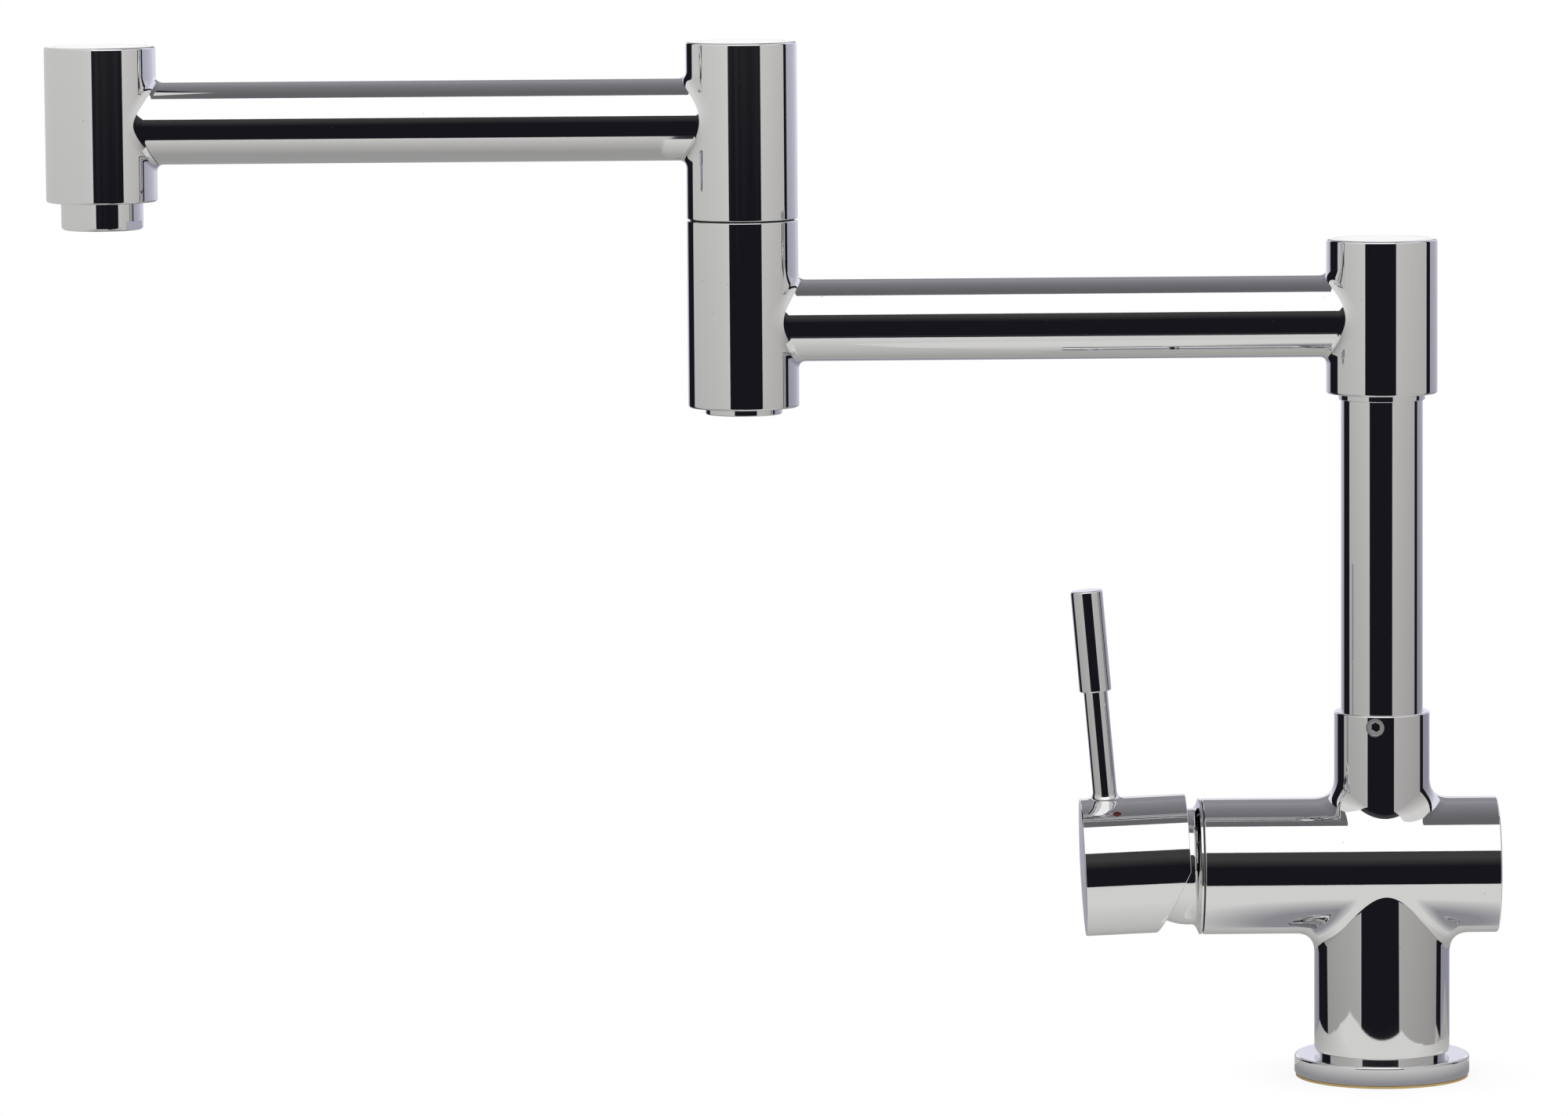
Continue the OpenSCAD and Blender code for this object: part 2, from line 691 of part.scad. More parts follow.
// Cap of the lever: it covers the bonnet and is cut away below so that it can tilt
module lever_cap() {
    deep = cap_r + over;
    color("silver") difference() {
        on_cap() cap_form();
        on_cap() translate([0, 0, -over]) cylinder(r = cap_bore_r, h = cap_bore_l + over);
        on_cap() rotate([90, 0, 0]) linear_extrude(height = 4 * cap_r, center = true)
            polygon([[0, 0], [-deep, deep * tan(cut_angle)], [-deep, -over], [0, -over]]);
        on_spindle() translate([-spindle_r - seated, -spindle_r - seated, 0])
            cube([spindle_w + 2 * seated, spindle_w + 2 * seated, spindle_out + seated]);
        on_rod() translate([0, 0, cap_r + stub_h - tail_l]) cylinder(r = tail_r + seated, h = tail_l + over);
        for (side = [-1, 1])
            on_mark(side) translate([0, 0, cap_r - mark_depth]) cylinder(r = mark_r, h = mark_depth + over);
        on_cap_screw() translate([0, 0, cap_screw_start - play])
            cylinder(r = cap_screw_r + seated, h = 2 * cap_r);
    }
}

// Frame of a temperature mark: Z runs outwards through the cap's skin
module on_mark(side) {
    on_cap() translate([0, 0, mark_place]) rotate([0, 0, side * mark_angle]) rotate([0, 90, 0]) children();
}

// Frame of the screw that clamps the cap on the spindle, from below
module on_cap_screw() {
    on_cap() translate([0, 0, cap_screw_place]) rotate([0, -90, 0]) children();
}

// Screw that clamps the cap on the spindle
module cap_screw() {
    color("dimgray") on_cap_screw() difference() {
        translate([0, 0, cap_screw_start]) cylinder(r = cap_screw_r, h = cap_screw_l);
        translate([0, 0, cap_screw_start + cap_screw_l - key_h])
            cylinder(d = cap_screw_d / 2, h = key_h + over, $fn = 6);
    }
}

// Red mark on the warm side
module hot_mark() {
    color("firebrick") on_mark(-1) translate([0, 0, cap_r - mark_depth])
        cylinder(r = mark_r - seated, h = mark_h);
}

// Blue mark on the cold side
module cold_mark() {
    color("royalblue") on_mark(1) translate([0, 0, cap_r - mark_depth])
        cylinder(r = mark_r - seated, h = mark_h);
}

// Rod of the lever, with a tail in the cap and one in the grip
module lever_rod() {
    color("silver") on_rod() translate([0, 0, cap_r + stub_h]) {
        translate([0, 0, -tail_l + seated]) cylinder(r = tail_r, h = tail_l + rod_l - stub_h + grip_tail_l);
        cylinder(r = rod_r, h = rod_l - stub_h);
    }
}

// Grip sleeve on the rod
module lever_grip() {
    color("silver") on_rod() translate([0, 0, cap_r + rod_l]) difference() {
        rounded_bar(grip_r, grip_l, grip_step, grip_round);
        translate([0, 0, -over]) cylinder(r = tail_r + seated, h = grip_tail_l + over + seated);
    }
}

// Fitting at the riser's lower end, grooved for glide ring, seals and screw
module riser_foot() {
    color("goldenrod") difference() {
        union() {
            translate([0, 0, riser_z]) cylinder(r = tube_r, h = riser_tube_z - riser_z);
            translate([0, 0, riser_z])
                cylinder(r = tube_bore_r - seated, h = riser_tube_z - riser_z + riser_tenon_h);
        }
        translate([0, 0, riser_z - over])
            cylinder(r = riser_foot_bore_r, h = riser_tube_z - riser_z + riser_tenon_h + 2 * over);
        translate([0, 0, riser_z + glide_up]) ring(tube_r + over, tube_r - glide_wall, glide_h);
        for (share = seal_places)
            translate([0, 0, riser_z + socket_h * share - seal_groove_h / 2])
                ring(tube_r + over, tube_r - 2 * seal_r, seal_groove_h);
        translate([0, 0, screw_z - screw_groove_h / 2]) ring(tube_r + over, screw_groove_r, screw_groove_h);
    }
}

// Plastic ring on which the riser turns
module riser_glide() {
    color("ivory") translate([0, 0, riser_z + glide_up])
        ring(tube_r + running, tube_r - glide_wall, glide_h);
}

// Two seals round the riser's foot
module riser_seals() {
    color("dimgray") for (share = seal_places)
        translate([0, 0, riser_z + socket_h * share]) seal_ring(tube_r - seal_r + running, seal_r);
}

// Upright tube
module riser_tube() {
    color("silver") translate([0, 0, riser_tube_z]) ring(tube_r, tube_bore_r, riser_tube_top - riser_tube_z);
}

// Ring and sleeve that hold the riser in the column hub
module riser_ring() {
    color("silver") translate([0, 0, hub_z]) difference() {
        union() {
            translate([0, 0, -riser_ring_h]) cylinder(r = tube_r + riser_ring_out, h = riser_ring_h);
            cylinder(r = riser_sleeve_r, h = riser_tube_top - hub_z);
        }
        translate([0, 0, -riser_ring_h - over])
            cylinder(r = tube_r + seated, h = riser_tube_top - hub_z + riser_ring_h + 2 * over);
    }
}

// Arm tube along -X from one hub's axis to the next, with its blends
module arm_form() {
    rotate([0, -90, 0]) cylinder(r = tube_r, h = arm_l);
    mirror([1, 0, 0]) blend(tube_r, hub_r, blend_arm, blend_hub);
    translate([-arm_l, 0, 0]) blend(tube_r, hub_r, blend_arm, blend_hub);
}

// Lower arm: column hub, tube and lower half of the elbow, welded into one
module lower_arm() {
    color("silver") difference() {
        union() {
            translate([0, 0, hub_z]) rounded_bar(hub_r, hub_h, hub_round, hub_round);
            translate([elbow_x, 0, elbow_bottom])
                rounded_bar(hub_r, elbow_lower_top - elbow_bottom, hub_round, hub_round / 2);
            translate([0, 0, lower_arm_z]) arm_form();
        }
        translate([0, 0, hub_z - over]) cylinder(r = hub_bore_r, h = hub_h + 2 * over);
        translate([0, 0, lower_arm_z]) rotate([0, -90, 0]) cylinder(r = tube_bore_r, h = arm_l);
        translate([elbow_x, 0, elbow_bottom - over])
            cylinder(r = elbow_bore_r, h = elbow_lower_top - elbow_bottom + 2 * over);
    }
}

// Lid in the column hub
module column_lid() {
    color("silver") translate([0, 0, column_lid_z]) cylinder(r = hub_bore_r, h = lid_h);
}

// Plastic bush at the bottom of the elbow
module elbow_low_bush() {
    color("ivory") translate([elbow_x, 0, elbow_bottom])
        ring(elbow_bore_r, elbow_spindle_r + running, bush_h);
}

// Plastic bush at the top of the elbow's lower half
module elbow_top_bush() {
    color("ivory") translate([elbow_x, 0, elbow_lower_top - bush_h])
        ring(elbow_bore_r, elbow_spindle_r + running, bush_h);
}

// Thin washer between the elbow's nut and hub
module thrust_washer() {
    color("ivory") translate([elbow_x, 0, elbow_bottom - washer_h])
        ring(elbow_nut_r - running * 6, elbow_spindle_r + running, washer_h);
}

// Washer in the elbow's seam
module elbow_washer() {
    color("dimgray") translate([elbow_x, 0, elbow_lower_top])
        ring(hub_r - glide_washer_inset, elbow_spindle_r + 2 * running, glide_washer_h);
}

// Hollow spindle of the elbow, fixed in the upper arm, with windows for the water
module elbow_spindle() {
    color("goldenrod") translate([elbow_x, 0, 0]) difference() {
        union() {
            translate([0, 0, spindle_bottom]) cylinder(r = elbow_spindle_r, h = spindle_top - spindle_bottom);
            translate([0, 0, elbow_upper_bottom])
                cylinder(r = elbow_bore_r, h = spindle_top - elbow_upper_bottom);
            for (z = [lower_land_z, upper_land_z])
                translate([0, 0, z]) cylinder(r = elbow_land_r, h = elbow_land_h);
        }
        translate([0, 0, spindle_bottom - over])
            cylinder(r = elbow_flow_r, h = spindle_top - spindle_bottom + 2 * over);
        for (z = [lower_land_z, upper_land_z])
            translate([0, 0, z + (elbow_land_h - seal_groove_h) / 2])
                ring(elbow_land_r + over, elbow_land_r - 2 * seal_r, seal_groove_h);
        for (turn = [0, 90]) translate([0, 0, lower_arm_z]) rotate([0, 90, turn])
            cylinder(r = elbow_window_r, h = 2 * hub_r, center = true);
    }
}

// Two seals of the elbow
module elbow_seals() {
    color("dimgray") for (z = [lower_land_z, upper_land_z])
        translate([elbow_x, 0, z + elbow_land_h / 2]) seal_ring(elbow_land_r - seal_r + running / 2, seal_r);
}

// Nut that closes the elbow's spindle from below
module elbow_nut() {
    color("silver") translate([elbow_x, 0, elbow_nut_z]) {
        rounded_bar(elbow_nut_r, elbow_nut_h, hub_round / 2, hub_round / 4);
        cylinder(r = elbow_tail_r, h = elbow_nut_h + washer_h + elbow_tail_h);
    }
}

// Upper arm: upper half of the elbow, tube and outlet hub, welded into one
module upper_arm() {
    color("silver") difference() {
        union() {
            translate([elbow_x, 0, elbow_upper_bottom])
                rounded_bar(hub_r, spout_top - elbow_upper_bottom, hub_round / 2, hub_round);
            translate([outlet_x, 0, outlet_hub_z]) rounded_bar(hub_r, hub_h, hub_round, hub_round);
            translate([elbow_x, 0, upper_arm_z]) arm_form();
        }
        translate([elbow_x, 0, elbow_upper_bottom - over])
            cylinder(r = elbow_bore_r, h = spout_top - elbow_upper_bottom + 2 * over);
        translate([elbow_x, 0, upper_arm_z]) rotate([0, -90, 0]) cylinder(r = tube_bore_r, h = arm_l);
        translate([outlet_x, 0, outlet_hub_z + outlet_floor]) cylinder(r = hub_bore_r, h = hub_h);
        translate([outlet_x, 0, outlet_hub_z - over]) cylinder(r = thread_r + seated, h = hub_h);
    }
}

// Lid in the elbow's top
module elbow_lid() {
    color("silver") translate([elbow_x, 0, upper_lid_z]) cylinder(r = elbow_bore_r, h = lid_h);
}

// Lid in the outlet hub
module outlet_lid() {
    color("silver") translate([outlet_x, 0, upper_lid_z]) cylinder(r = hub_bore_r, h = lid_h);
}

// Housing of the aerator, with four flats for a spanner
module aerator_housing() {
    color("silver") translate([outlet_x, 0, aerator_z]) difference() {
        union() {
            rounded_bar(aerator_r, aerator_h, aerator_round, hub_round / 4);
            cylinder(r = thread_r, h = aerator_h + outlet_floor);
        }
        translate([0, 0, aerator_lip_h]) cylinder(r = aerator_bore_r, h = aerator_h + outlet_floor);
        translate([0, 0, -over]) cylinder(r = aerator_lip_r, h = aerator_h);
        for (k = [0 : 3])
            rotate([0, 0, 90 * k - aerator_turn]) translate([aerator_flat + aerator_r / 2, 0, 0])
                cube([aerator_r, tube_d, 2 * aerator_flat_h], center = true);
    }
}

// Plastic insert that mixes air into the water: a disc with rings of holes
module aerator_insert() {
    color("gainsboro") translate([outlet_x, 0, aerator_z + aerator_lip_h]) difference() {
        cylinder(r = aerator_bore_r - seated, h = insert_h);
        translate([0, 0, -over]) cylinder(r = insert_hole_r, h = insert_h + 2 * over);
        for (row = [1 : insert_rings], k = [0 : 6 * row - 1])
            rotate([0, 0, 60 * k / row]) translate([insert_pitch * row, 0, -over])
                cylinder(r = insert_hole_r, h = insert_h + 2 * over, $fn = 24);
    }
}

// Washer on top of the aerator
module aerator_washer() {
    color("dimgray") translate([outlet_x, 0, outlet_hub_z + outlet_floor])
        ring(thread_r, aerator_bore_r - washer_ring_h, washer_ring_h);
}

deck_gasket();
base_flange();
mixer_body();
spout_screw();
cartridge_seals();
cartridge_base();
fixed_disc();
cartridge_housing();
cartridge_nut();
bonnet_ring();
bonnet();
cartridge_rotor();
pivot_pin();
moving_disc();
disc_driver();
lever_spindle();
lever_cap();
cap_screw();
hot_mark();
cold_mark();
lever_rod();
lever_grip();
riser_foot();
riser_glide();
riser_seals();
riser_tube();
riser_ring();
lower_arm();
column_lid();
elbow_low_bush();
elbow_top_bush();
thrust_washer();
elbow_washer();
elbow_spindle();
elbow_seals();
elbow_nut();
upper_arm();
elbow_lid();
outlet_lid();
aerator_washer();
aerator_housing();
aerator_insert();
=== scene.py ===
"""Looks of a deck-mounted kitchen mixer with a jointed swing spout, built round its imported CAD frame.

Every visible metal piece is a surface worked out with numpy on a grid, in millimetres, and stands in for a
CAD node. Inner pieces keep their CAD meshes and get a finish of their own.
"""

import json
import logging
import math
from collections.abc import Sequence
from dataclasses import dataclass
from enum import Enum

import bpy
import numpy as np
from mathutils import Matrix

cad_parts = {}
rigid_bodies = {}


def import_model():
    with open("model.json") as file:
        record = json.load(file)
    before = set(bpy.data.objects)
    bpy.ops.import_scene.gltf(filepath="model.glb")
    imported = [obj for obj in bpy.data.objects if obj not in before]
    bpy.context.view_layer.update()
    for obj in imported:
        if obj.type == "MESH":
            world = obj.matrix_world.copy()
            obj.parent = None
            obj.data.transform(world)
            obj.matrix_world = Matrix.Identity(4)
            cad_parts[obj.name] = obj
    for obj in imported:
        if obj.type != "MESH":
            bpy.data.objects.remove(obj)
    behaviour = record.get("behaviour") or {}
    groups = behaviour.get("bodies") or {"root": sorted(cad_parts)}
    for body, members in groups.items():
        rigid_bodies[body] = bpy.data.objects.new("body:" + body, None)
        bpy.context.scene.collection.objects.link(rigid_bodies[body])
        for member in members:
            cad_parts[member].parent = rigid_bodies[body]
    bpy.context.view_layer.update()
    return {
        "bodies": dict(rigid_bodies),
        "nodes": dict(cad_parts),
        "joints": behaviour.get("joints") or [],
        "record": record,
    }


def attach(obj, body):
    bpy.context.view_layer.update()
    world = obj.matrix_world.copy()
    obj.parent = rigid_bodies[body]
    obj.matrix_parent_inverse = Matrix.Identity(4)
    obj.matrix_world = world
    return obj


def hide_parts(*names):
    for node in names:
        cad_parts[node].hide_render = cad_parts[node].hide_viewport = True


LOG = logging.getLogger("mixer")
# Metres in a millimetre
METRES = 0.001
# Columns round a turned piece
AROUND = 256
# A full turn
TURN = 2 * math.pi
# Millimetres within which points are one
WELD = 1e-4
# How far along its tangents a blend's curve is pulled
EASE = 2 / 3
# Part of the room beside a wide branch that its blend takes, and its reach there over that
BESIDE, BESIDE_REACH = 0.55, 0.9
# Points across an eased corner, a blend, a bore's edge, and from an outlet to the edge of its panel
CORNER_STEPS, BLEND_STEPS, BORE_STEPS, PANEL_STEPS = 7, 13, 5, 9
UP = np.array([0.0, 0.0, 1.0])

Triple = tuple[float, float, float]
Spot = tuple[float, float]
Corners = list[tuple[float, ...]]


class Body(Enum):
    """Moving bodies of the frame."""

    BASE = "base"
    LEVER = "lever"
    INNER = "inner_spout"
    OUTER = "outer_spout"


class Slot(Enum):
    """Material slots of the record."""

    METAL = "chrome"
    GASKET = "gasket"
    SCREW = "screw_steel"
    SEAL = "seal_rubber"
    CARTRIDGE = "cartridge_plastic"
    CERAMIC = "ceramic"
    BRASS = "brass"
    GLIDE = "glide_plastic"
    HOT = "hot_red"
    COLD = "cold_blue"
    AERATOR = "aerator_plastic"


def unit(vectors: np.ndarray) -> np.ndarray:
    """Each vector divided by its own length."""
    return vectors / np.maximum(np.linalg.norm(vectors, axis=-1, keepdims=True), 1e-12)


def around(count: int = AROUND) -> np.ndarray:
    """Even angles round a full turn, the last one left out."""
    return np.arange(count) * TURN / count


def rays(angles: np.ndarray) -> np.ndarray:
    """Flat directions: x = cos, y = sin, z = 0."""
    return np.stack([np.cos(angles), np.sin(angles), 0 * angles], -1)


def bow(turns: np.ndarray) -> np.ndarray:
    """Half-plane directions at these turns from the axis: radius = sin, height = cos."""
    return np.stack([np.sin(turns), np.cos(turns)], -1)


def wrap(angles: np.ndarray) -> np.ndarray:
    """Angles brought between minus and plus half a turn."""
    return np.angle(np.exp(1j * angles))


def slide(points: np.ndarray) -> np.ndarray:
    """Directions along the rows of a wrapped grid: next point less the one before."""
    return np.roll(points, -1, axis=1) - np.roll(points, 1, axis=1)


def linked(name: str, data: bpy.types.ID) -> bpy.types.Object:
    """A new object of this data, in the scene."""
    made = bpy.data.objects.new(name, data)
    bpy.context.scene.collection.objects.link(made)
    return made


def sheet(name: str, corners: Sequence[Triple]) -> bpy.types.Object:
    """A flat sheet with these corners, in metres."""
    mesh = bpy.data.meshes.new(name)
    mesh.from_pydata(corners, [], [tuple(range(len(corners)))])
    return linked(name, mesh)


@dataclass(frozen=True)
class Place:
    """A local frame in millimetres: the rows of `axes` are its X, Y and Z in the world."""

    origin: np.ndarray
    axes: np.ndarray

    @staticmethod
    def upright(x: float = 0.0) -> "Place":
        """A frame parallel to the world at (x, 0, 0)."""
        return Place(np.array([x, 0.0, 0.0]), np.eye(3))

    def out(self, points: np.ndarray) -> np.ndarray:
        """Local points as world points: origin + x X + y Y + z Z."""
        return self.origin + points @ self.axes

    def turned(self, vectors: np.ndarray) -> np.ndarray:
        """Local directions as world directions."""
        return vectors @ self.axes

    def moved(self, x: float = 0.0, z: float = 0.0) -> "Place":
        """The frame moved along its own X and Z."""
        return Place(self.out(np.array([x, 0.0, z])), self.axes)

    def leaning(self, angle: float) -> "Place":
        """The frame turned about its own Y, so that its Z leans towards its X.

        Args:
            angle: turn in radians.

        Returns:
            The leaning frame.
        """
        c, s = math.cos(angle), math.sin(angle)
        return Place(self.origin, np.array([[c, 0, -s], [0, 1, 0], [s, 0, c]]) @ self.axes)


@dataclass(frozen=True)
class Outlet:
    """A round branch or bore that leaves a main cylinder, which runs along its local Z.

    It leaves at this angle round the main cylinder and at this place along it. Its blend goes as far as
    reach along the branch and as spread over the main cylinder; a negative reach gives a bore with an eased
    edge. Squeeze scales the branch round the main cylinder where it leaves it, so that it is an ellipse
    there. Half turn, in degrees, and half height give the panel of the wall round it.
    """

    at: float
    place: float
    radius: float
    reach: float
    spread: float
    half_turn: float
    half_height: float
    lean: float = 0.0
    squeeze: float = 1.0

    @property
    def side(self) -> float:
        """The way that its wall faces: 1 for a branch, -1 for a bore."""
        return 1.0 if self.reach > 0 else -1.0

    @property
    def axes(self) -> np.ndarray:
        """Rows: up the main cylinder, round it, and out along the branch."""
        c, s = math.cos(self.at), math.sin(self.at)
        level, rise = math.cos(self.lean), math.sin(self.lean)
        return np.array([[-rise * c, -rise * s, level], [-s, c, 0.0], [level * c, level * s, rise]])

    def frame(self, main: Place) -> Place:
        """The branch's own frame: Z runs outwards from the main cylinder's axis."""
        return Place(main.out(self.place * UP), self.axes @ main.axes)

    def ray(self, turn: np.ndarray, squeeze: float = 1.0) -> np.ndarray:
        """Direction from the branch's axis at each turn: up cos + squeeze side sin."""
        up, side, _ = self.axes
        return np.cos(turn)[:, None] * up + squeeze * np.sin(turn)[:, None] * side

    def meet(self, radius: np.ndarray, turn: np.ndarray, main: float) -> np.ndarray:
        """Where the lines along the branch at this radius reach the main cylinder.

        Each line is origin + radius ray + u out; u is the larger root of |x, y| = main radius.

        Args:
            radius: distance of each line from the branch's axis.
            turn: angle of each line.
            main: radius of the main cylinder.

        Returns:
            The points, in the main cylinder's frame.
        """
        start = self.ray(turn, self.squeeze) * np.reshape(radius, (-1, 1))
        out = self.axes[2]
        a = out[0] ** 2 + out[1] ** 2
        b = start[:, 0] * out[0] + start[:, 1] * out[1]
        c = start[:, 0] ** 2 + start[:, 1] ** 2 - main * main
        u = (-b + np.sqrt(np.maximum(b * b - a * c, 0.0))) / a
        return start + u[:, None] * out + self.place * UP

    def bearing(self, points: np.ndarray) -> np.ndarray:
        """Angle of points round the main cylinder, from the branch's own angle."""
        return wrap(np.arctan2(points[:, 1], points[:, 0]) - self.at)

    def edges(self, turn: np.ndarray, main: float) -> tuple[np.ndarray, np.ndarray, np.ndarray]:
        """Edge curves of the blend, which narrows where branch and main cylinder are near in size.

        wide = spread cos2 + min(spread, BESIDE (main - squeeze radius)) sin2, and along likewise from reach.

        Args:
            turn: angles round the branch.
            main: radius of the main cylinder.

        Returns:
            Edge on the branch, the sharp corner between the two, and edge on the main cylinder.
        """
        c2, s2 = np.cos(turn) ** 2, np.sin(turn) ** 2
        wide = self.spread * c2 + min(self.spread, BESIDE * (main - self.squeeze * self.radius)) * s2
        along = self.reach * c2 + np.minimum(self.reach, BESIDE_REACH * wide) * s2
        corner = self.meet(np.full_like(turn, self.radius), turn, main)
        return corner + along[:, None] * self.axes[2], corner, self.meet(self.radius + wide, turn, main)


class Skin:
    """Gathers patches of surface, welds their edges and makes one mesh of them.

    A patch is a grid of points with the exact normal at each, so reflections stay true on coarse grids.
    """

    def __init__(self, name: str) -> None:
        """An empty skin for one piece."""
        self.name = name
        self.points: list[np.ndarray] = []
        self.normals: list[np.ndarray] = []
        self.cells: list[np.ndarray] = []
        self.count = 0

    def patch(self, place: Place, points: np.ndarray, normals: np.ndarray) -> None:
        """Adds a grid of points whose last column joins the first; its cells face the way of the normals.

        Args:
            place: frame of the points.
            points: rows x columns x 3, in the place's frame.
            normals: the same shape, or one that broadcasts to it.
        """
        rows, cols = points.shape[:2]
        world = place.out(points)
        facing = place.turned(unit(np.broadcast_to(normals, points.shape).astype(float)))
        i, j = np.meshgrid(np.arange(rows - 1), np.arange(cols), indexing="ij")
        k = (j + 1) % cols
        low, high = i * cols, (i + 1) * cols
        quads = np.stack([low + j, low + k, high + k, high + j], -1).reshape(-1, 4)
        flat, bent = world.reshape(-1, 3), facing.reshape(-1, 3)
        corners = flat[quads]
        across = np.cross(corners[:, 2] - corners[:, 0], corners[:, 3] - corners[:, 1])
        if np.sum(across * bent[quads].mean(1)) < 0:
            quads = quads[:, ::-1]
        self.points.append(flat)
        self.normals.append(bent)
        self.cells.append(quads + self.count)
        self.count += len(flat)

    def swept(self, place: Place, profile: np.ndarray, slopes: np.ndarray, angles: np.ndarray) -> None:
        """Surface of revolution: x = r cos, y = r sin, z = height, for each profile point and angle.

        Args:
            place: frame whose Z is the axis.
            profile: n x 2 radii and heights.
            slopes: n x 2 normals in the same half plane.
            angles: angles of the columns, round a full turn.
        """
        ray = rays(angles)
        points, normals = (table[:, None, :1] * ray + table[:, None, 1:] * UP for table in (profile, slopes))
        self.patch(place, points, normals)

    def chain(
        self, place: Place, corners: Corners, angles: np.ndarray | None = None, closed: bool = False,
    ) -> None:
        """Revolved walls along a chain of corners, each eased by its own radius; open space is on the right.

        A corner's round is an arc that touches both edges: normals turn evenly from one edge's to the next.

        Args:
            place: frame whose Z is the axis.
            corners: (radius, height) or (radius, height, round) of each corner.
            angles: angles of the columns.
            closed: whether the chain returns to its first corner.
        """
        angles = around() if angles is None else angles
        spots = np.array([c[:2] for c in corners], float)
        rounds = [c[2] if len(c) > 2 else 0.0 for c in corners]
        if closed:
            spots = np.vstack([spots, spots[:1]])
            rounds.append(0.0)
        ways = unit(np.diff(spots, axis=0))
        faces = np.stack([ways[:, 1], -ways[:, 0]], -1)
        ends = spots[:-1].copy()
        for k, way in enumerate(ways):
            stop = spots[k + 1]
            bend = rounds[k + 1]
            if bend and k + 1 < len(ways):
                turn = math.acos(float(np.clip(way @ ways[k + 1], -1, 1)))
                back = bend * math.tan(turn / 2)
                first, last = stop - back * way, stop + back * ways[k + 1]
                share = np.linspace(0, 1, CORNER_STEPS)[:, None]
                slope = np.sin((1 - share) * turn) * faces[k] + np.sin(share * turn) * faces[k + 1]
                slope /= math.sin(turn)
                side = 1.0 if way[0] * ways[k + 1][1] - way[1] * ways[k + 1][0] > 0 else -1.0
                self.swept(place, first - side * bend * faces[k] + side * bend * slope, slope, angles)
                stop, ends[k + 1] = first, last
            if np.linalg.norm(stop - ends[k]) > WELD and max(stop[0], ends[k][0]) > 0:
                self.swept(place, np.array([ends[k], stop]), np.array([faces[k], faces[k]]), angles)

    def outlet(self, place: Place, main: float, outlet: Outlet, turn: np.ndarray) -> None:
        """Blend of a branch, or eased edge of a bore: at each angle a cubic curve that touches both surfaces.

        Args:
            place: frame of the main cylinder.
            main: its radius.
            outlet: the branch or bore.
            turn: angles of the columns.
        """
        near, corner, far = outlet.edges(turn, main)
        on_main = unit(far * (1.0, 1.0, 0.0))
        to_corner = corner - far
        to_corner = to_corner - np.sum(to_corner * on_main, -1, keepdims=True) * on_main
        a, b = near + EASE * (corner - near), far + EASE * to_corner
        t = np.linspace(0, 1, BLEND_STEPS if outlet.side > 0 else BORE_STEPS)[:, None, None]
        points = (1 - t) ** 3 * near + 3 * t * (1 - t) ** 2 * a + 3 * t * t * (1 - t) * b + t ** 3 * far
        down = 3 * (1 - t) ** 2 * (a - near) + 6 * t * (1 - t) * (b - a) + 3 * t * t * (far - b)
        ray = unit(outlet.ray(turn, 1.0 / outlet.squeeze)) * outlet.side
        normals = unit(np.cross(slide(points), down))
        normals *= np.sign(np.sum(normals * (ray + on_main), -1, keepdims=True))
        normals[0], normals[-1] = ray, on_main
        self.patch(place, points, normals)

    def reach(
        self, place: Place, main: float, outlet: Outlet, turn: np.ndarray, height: float, shut: bool = False,
    ) -> None:
        """Straight wall of a branch or bore: from its edge curve to a circle at this height along it.

        Args:
            place: frame of the main cylinder.
            main: its radius.
            outlet: the branch or bore.
            turn: angles of the columns.
            height: distance of the circle from the main cylinder's axis, along the branch.
            shut: whether a flat end closes it there.
        """
        ray = outlet.ray(turn)
        edge = outlet.edges(turn, main)[0]
        circle = ray * outlet.radius + height * outlet.axes[2] + outlet.place * UP
        points = np.stack([edge, circle])
        normals = ray * outlet.side
        if outlet.squeeze != 1.0:
            normals = unit(np.cross(slide(points), circle - edge))
            normals *= np.sign(np.sum(normals * ray, -1, keepdims=True))
        self.patch(place, points, normals)
        if shut:
            self.chain(outlet.frame(place), [(outlet.radius, height), (0.0, height)], turn)

    def wall(
        self, place: Place, radius: float, heights: np.ndarray, outlets: Sequence[Outlet],
        angles: np.ndarray | None = None,
    ) -> list[np.ndarray]:
        """Cylinder wall with round outlets cut in it.

        The wall is a grid of angle and height. Round each outlet a rectangle of cells is left out, and rings
        that run evenly from the outlet's edge to the rectangle, in the unrolled wall, fill it.

        Args:
            place: frame of the cylinder.
            radius: its radius.
            heights: heights of the rows.
            outlets: branches and bores.
            angles: angles of the columns.

        Returns:
            For each outlet the angles of its columns, for what joins it.
        """
        angles = np.sort(np.mod(around() if angles is None else angles, TURN))
        count = len(angles)
        keep = np.ones((len(heights) - 1, count), bool)
        found = []
        for outlet in outlets:
            half = math.radians(outlet.half_turn)
            first, last = (
                int(np.argmin(np.abs(wrap(angles - outlet.at - side * half)))) for side in (-1, 1))
            low, high = (
                int(np.argmin(np.abs(heights - outlet.place - side * outlet.half_height)))
                for side in (-1, 1))
            span = (last - first) % count
            cols = (first + np.arange(span + 1)) % count
            rows = np.arange(low, high + 1)
            keep[np.ix_(rows[:-1], cols[:-1])] = False
            tall = high - low
            loop_col = np.concatenate([
                cols[:-1], np.full(tall, cols[-1]), cols[:0:-1], np.full(tall, cols[0])])
            loop_row = np.concatenate([np.full(span, low), rows[:-1], np.full(span, high), rows[:0:-1]])
            arc, level = wrap(angles[loop_col] - outlet.at), heights[loop_row]
            dense = np.linspace(0, TURN, 4001)
            edge = outlet.edges(dense, radius)[2]
            seen = np.unwrap(np.arctan2(edge[:, 2] - outlet.place, radius * outlet.bearing(edge)))
            drop = np.mod(seen[0] - np.arctan2(level - outlet.place, radius * arc), TURN)
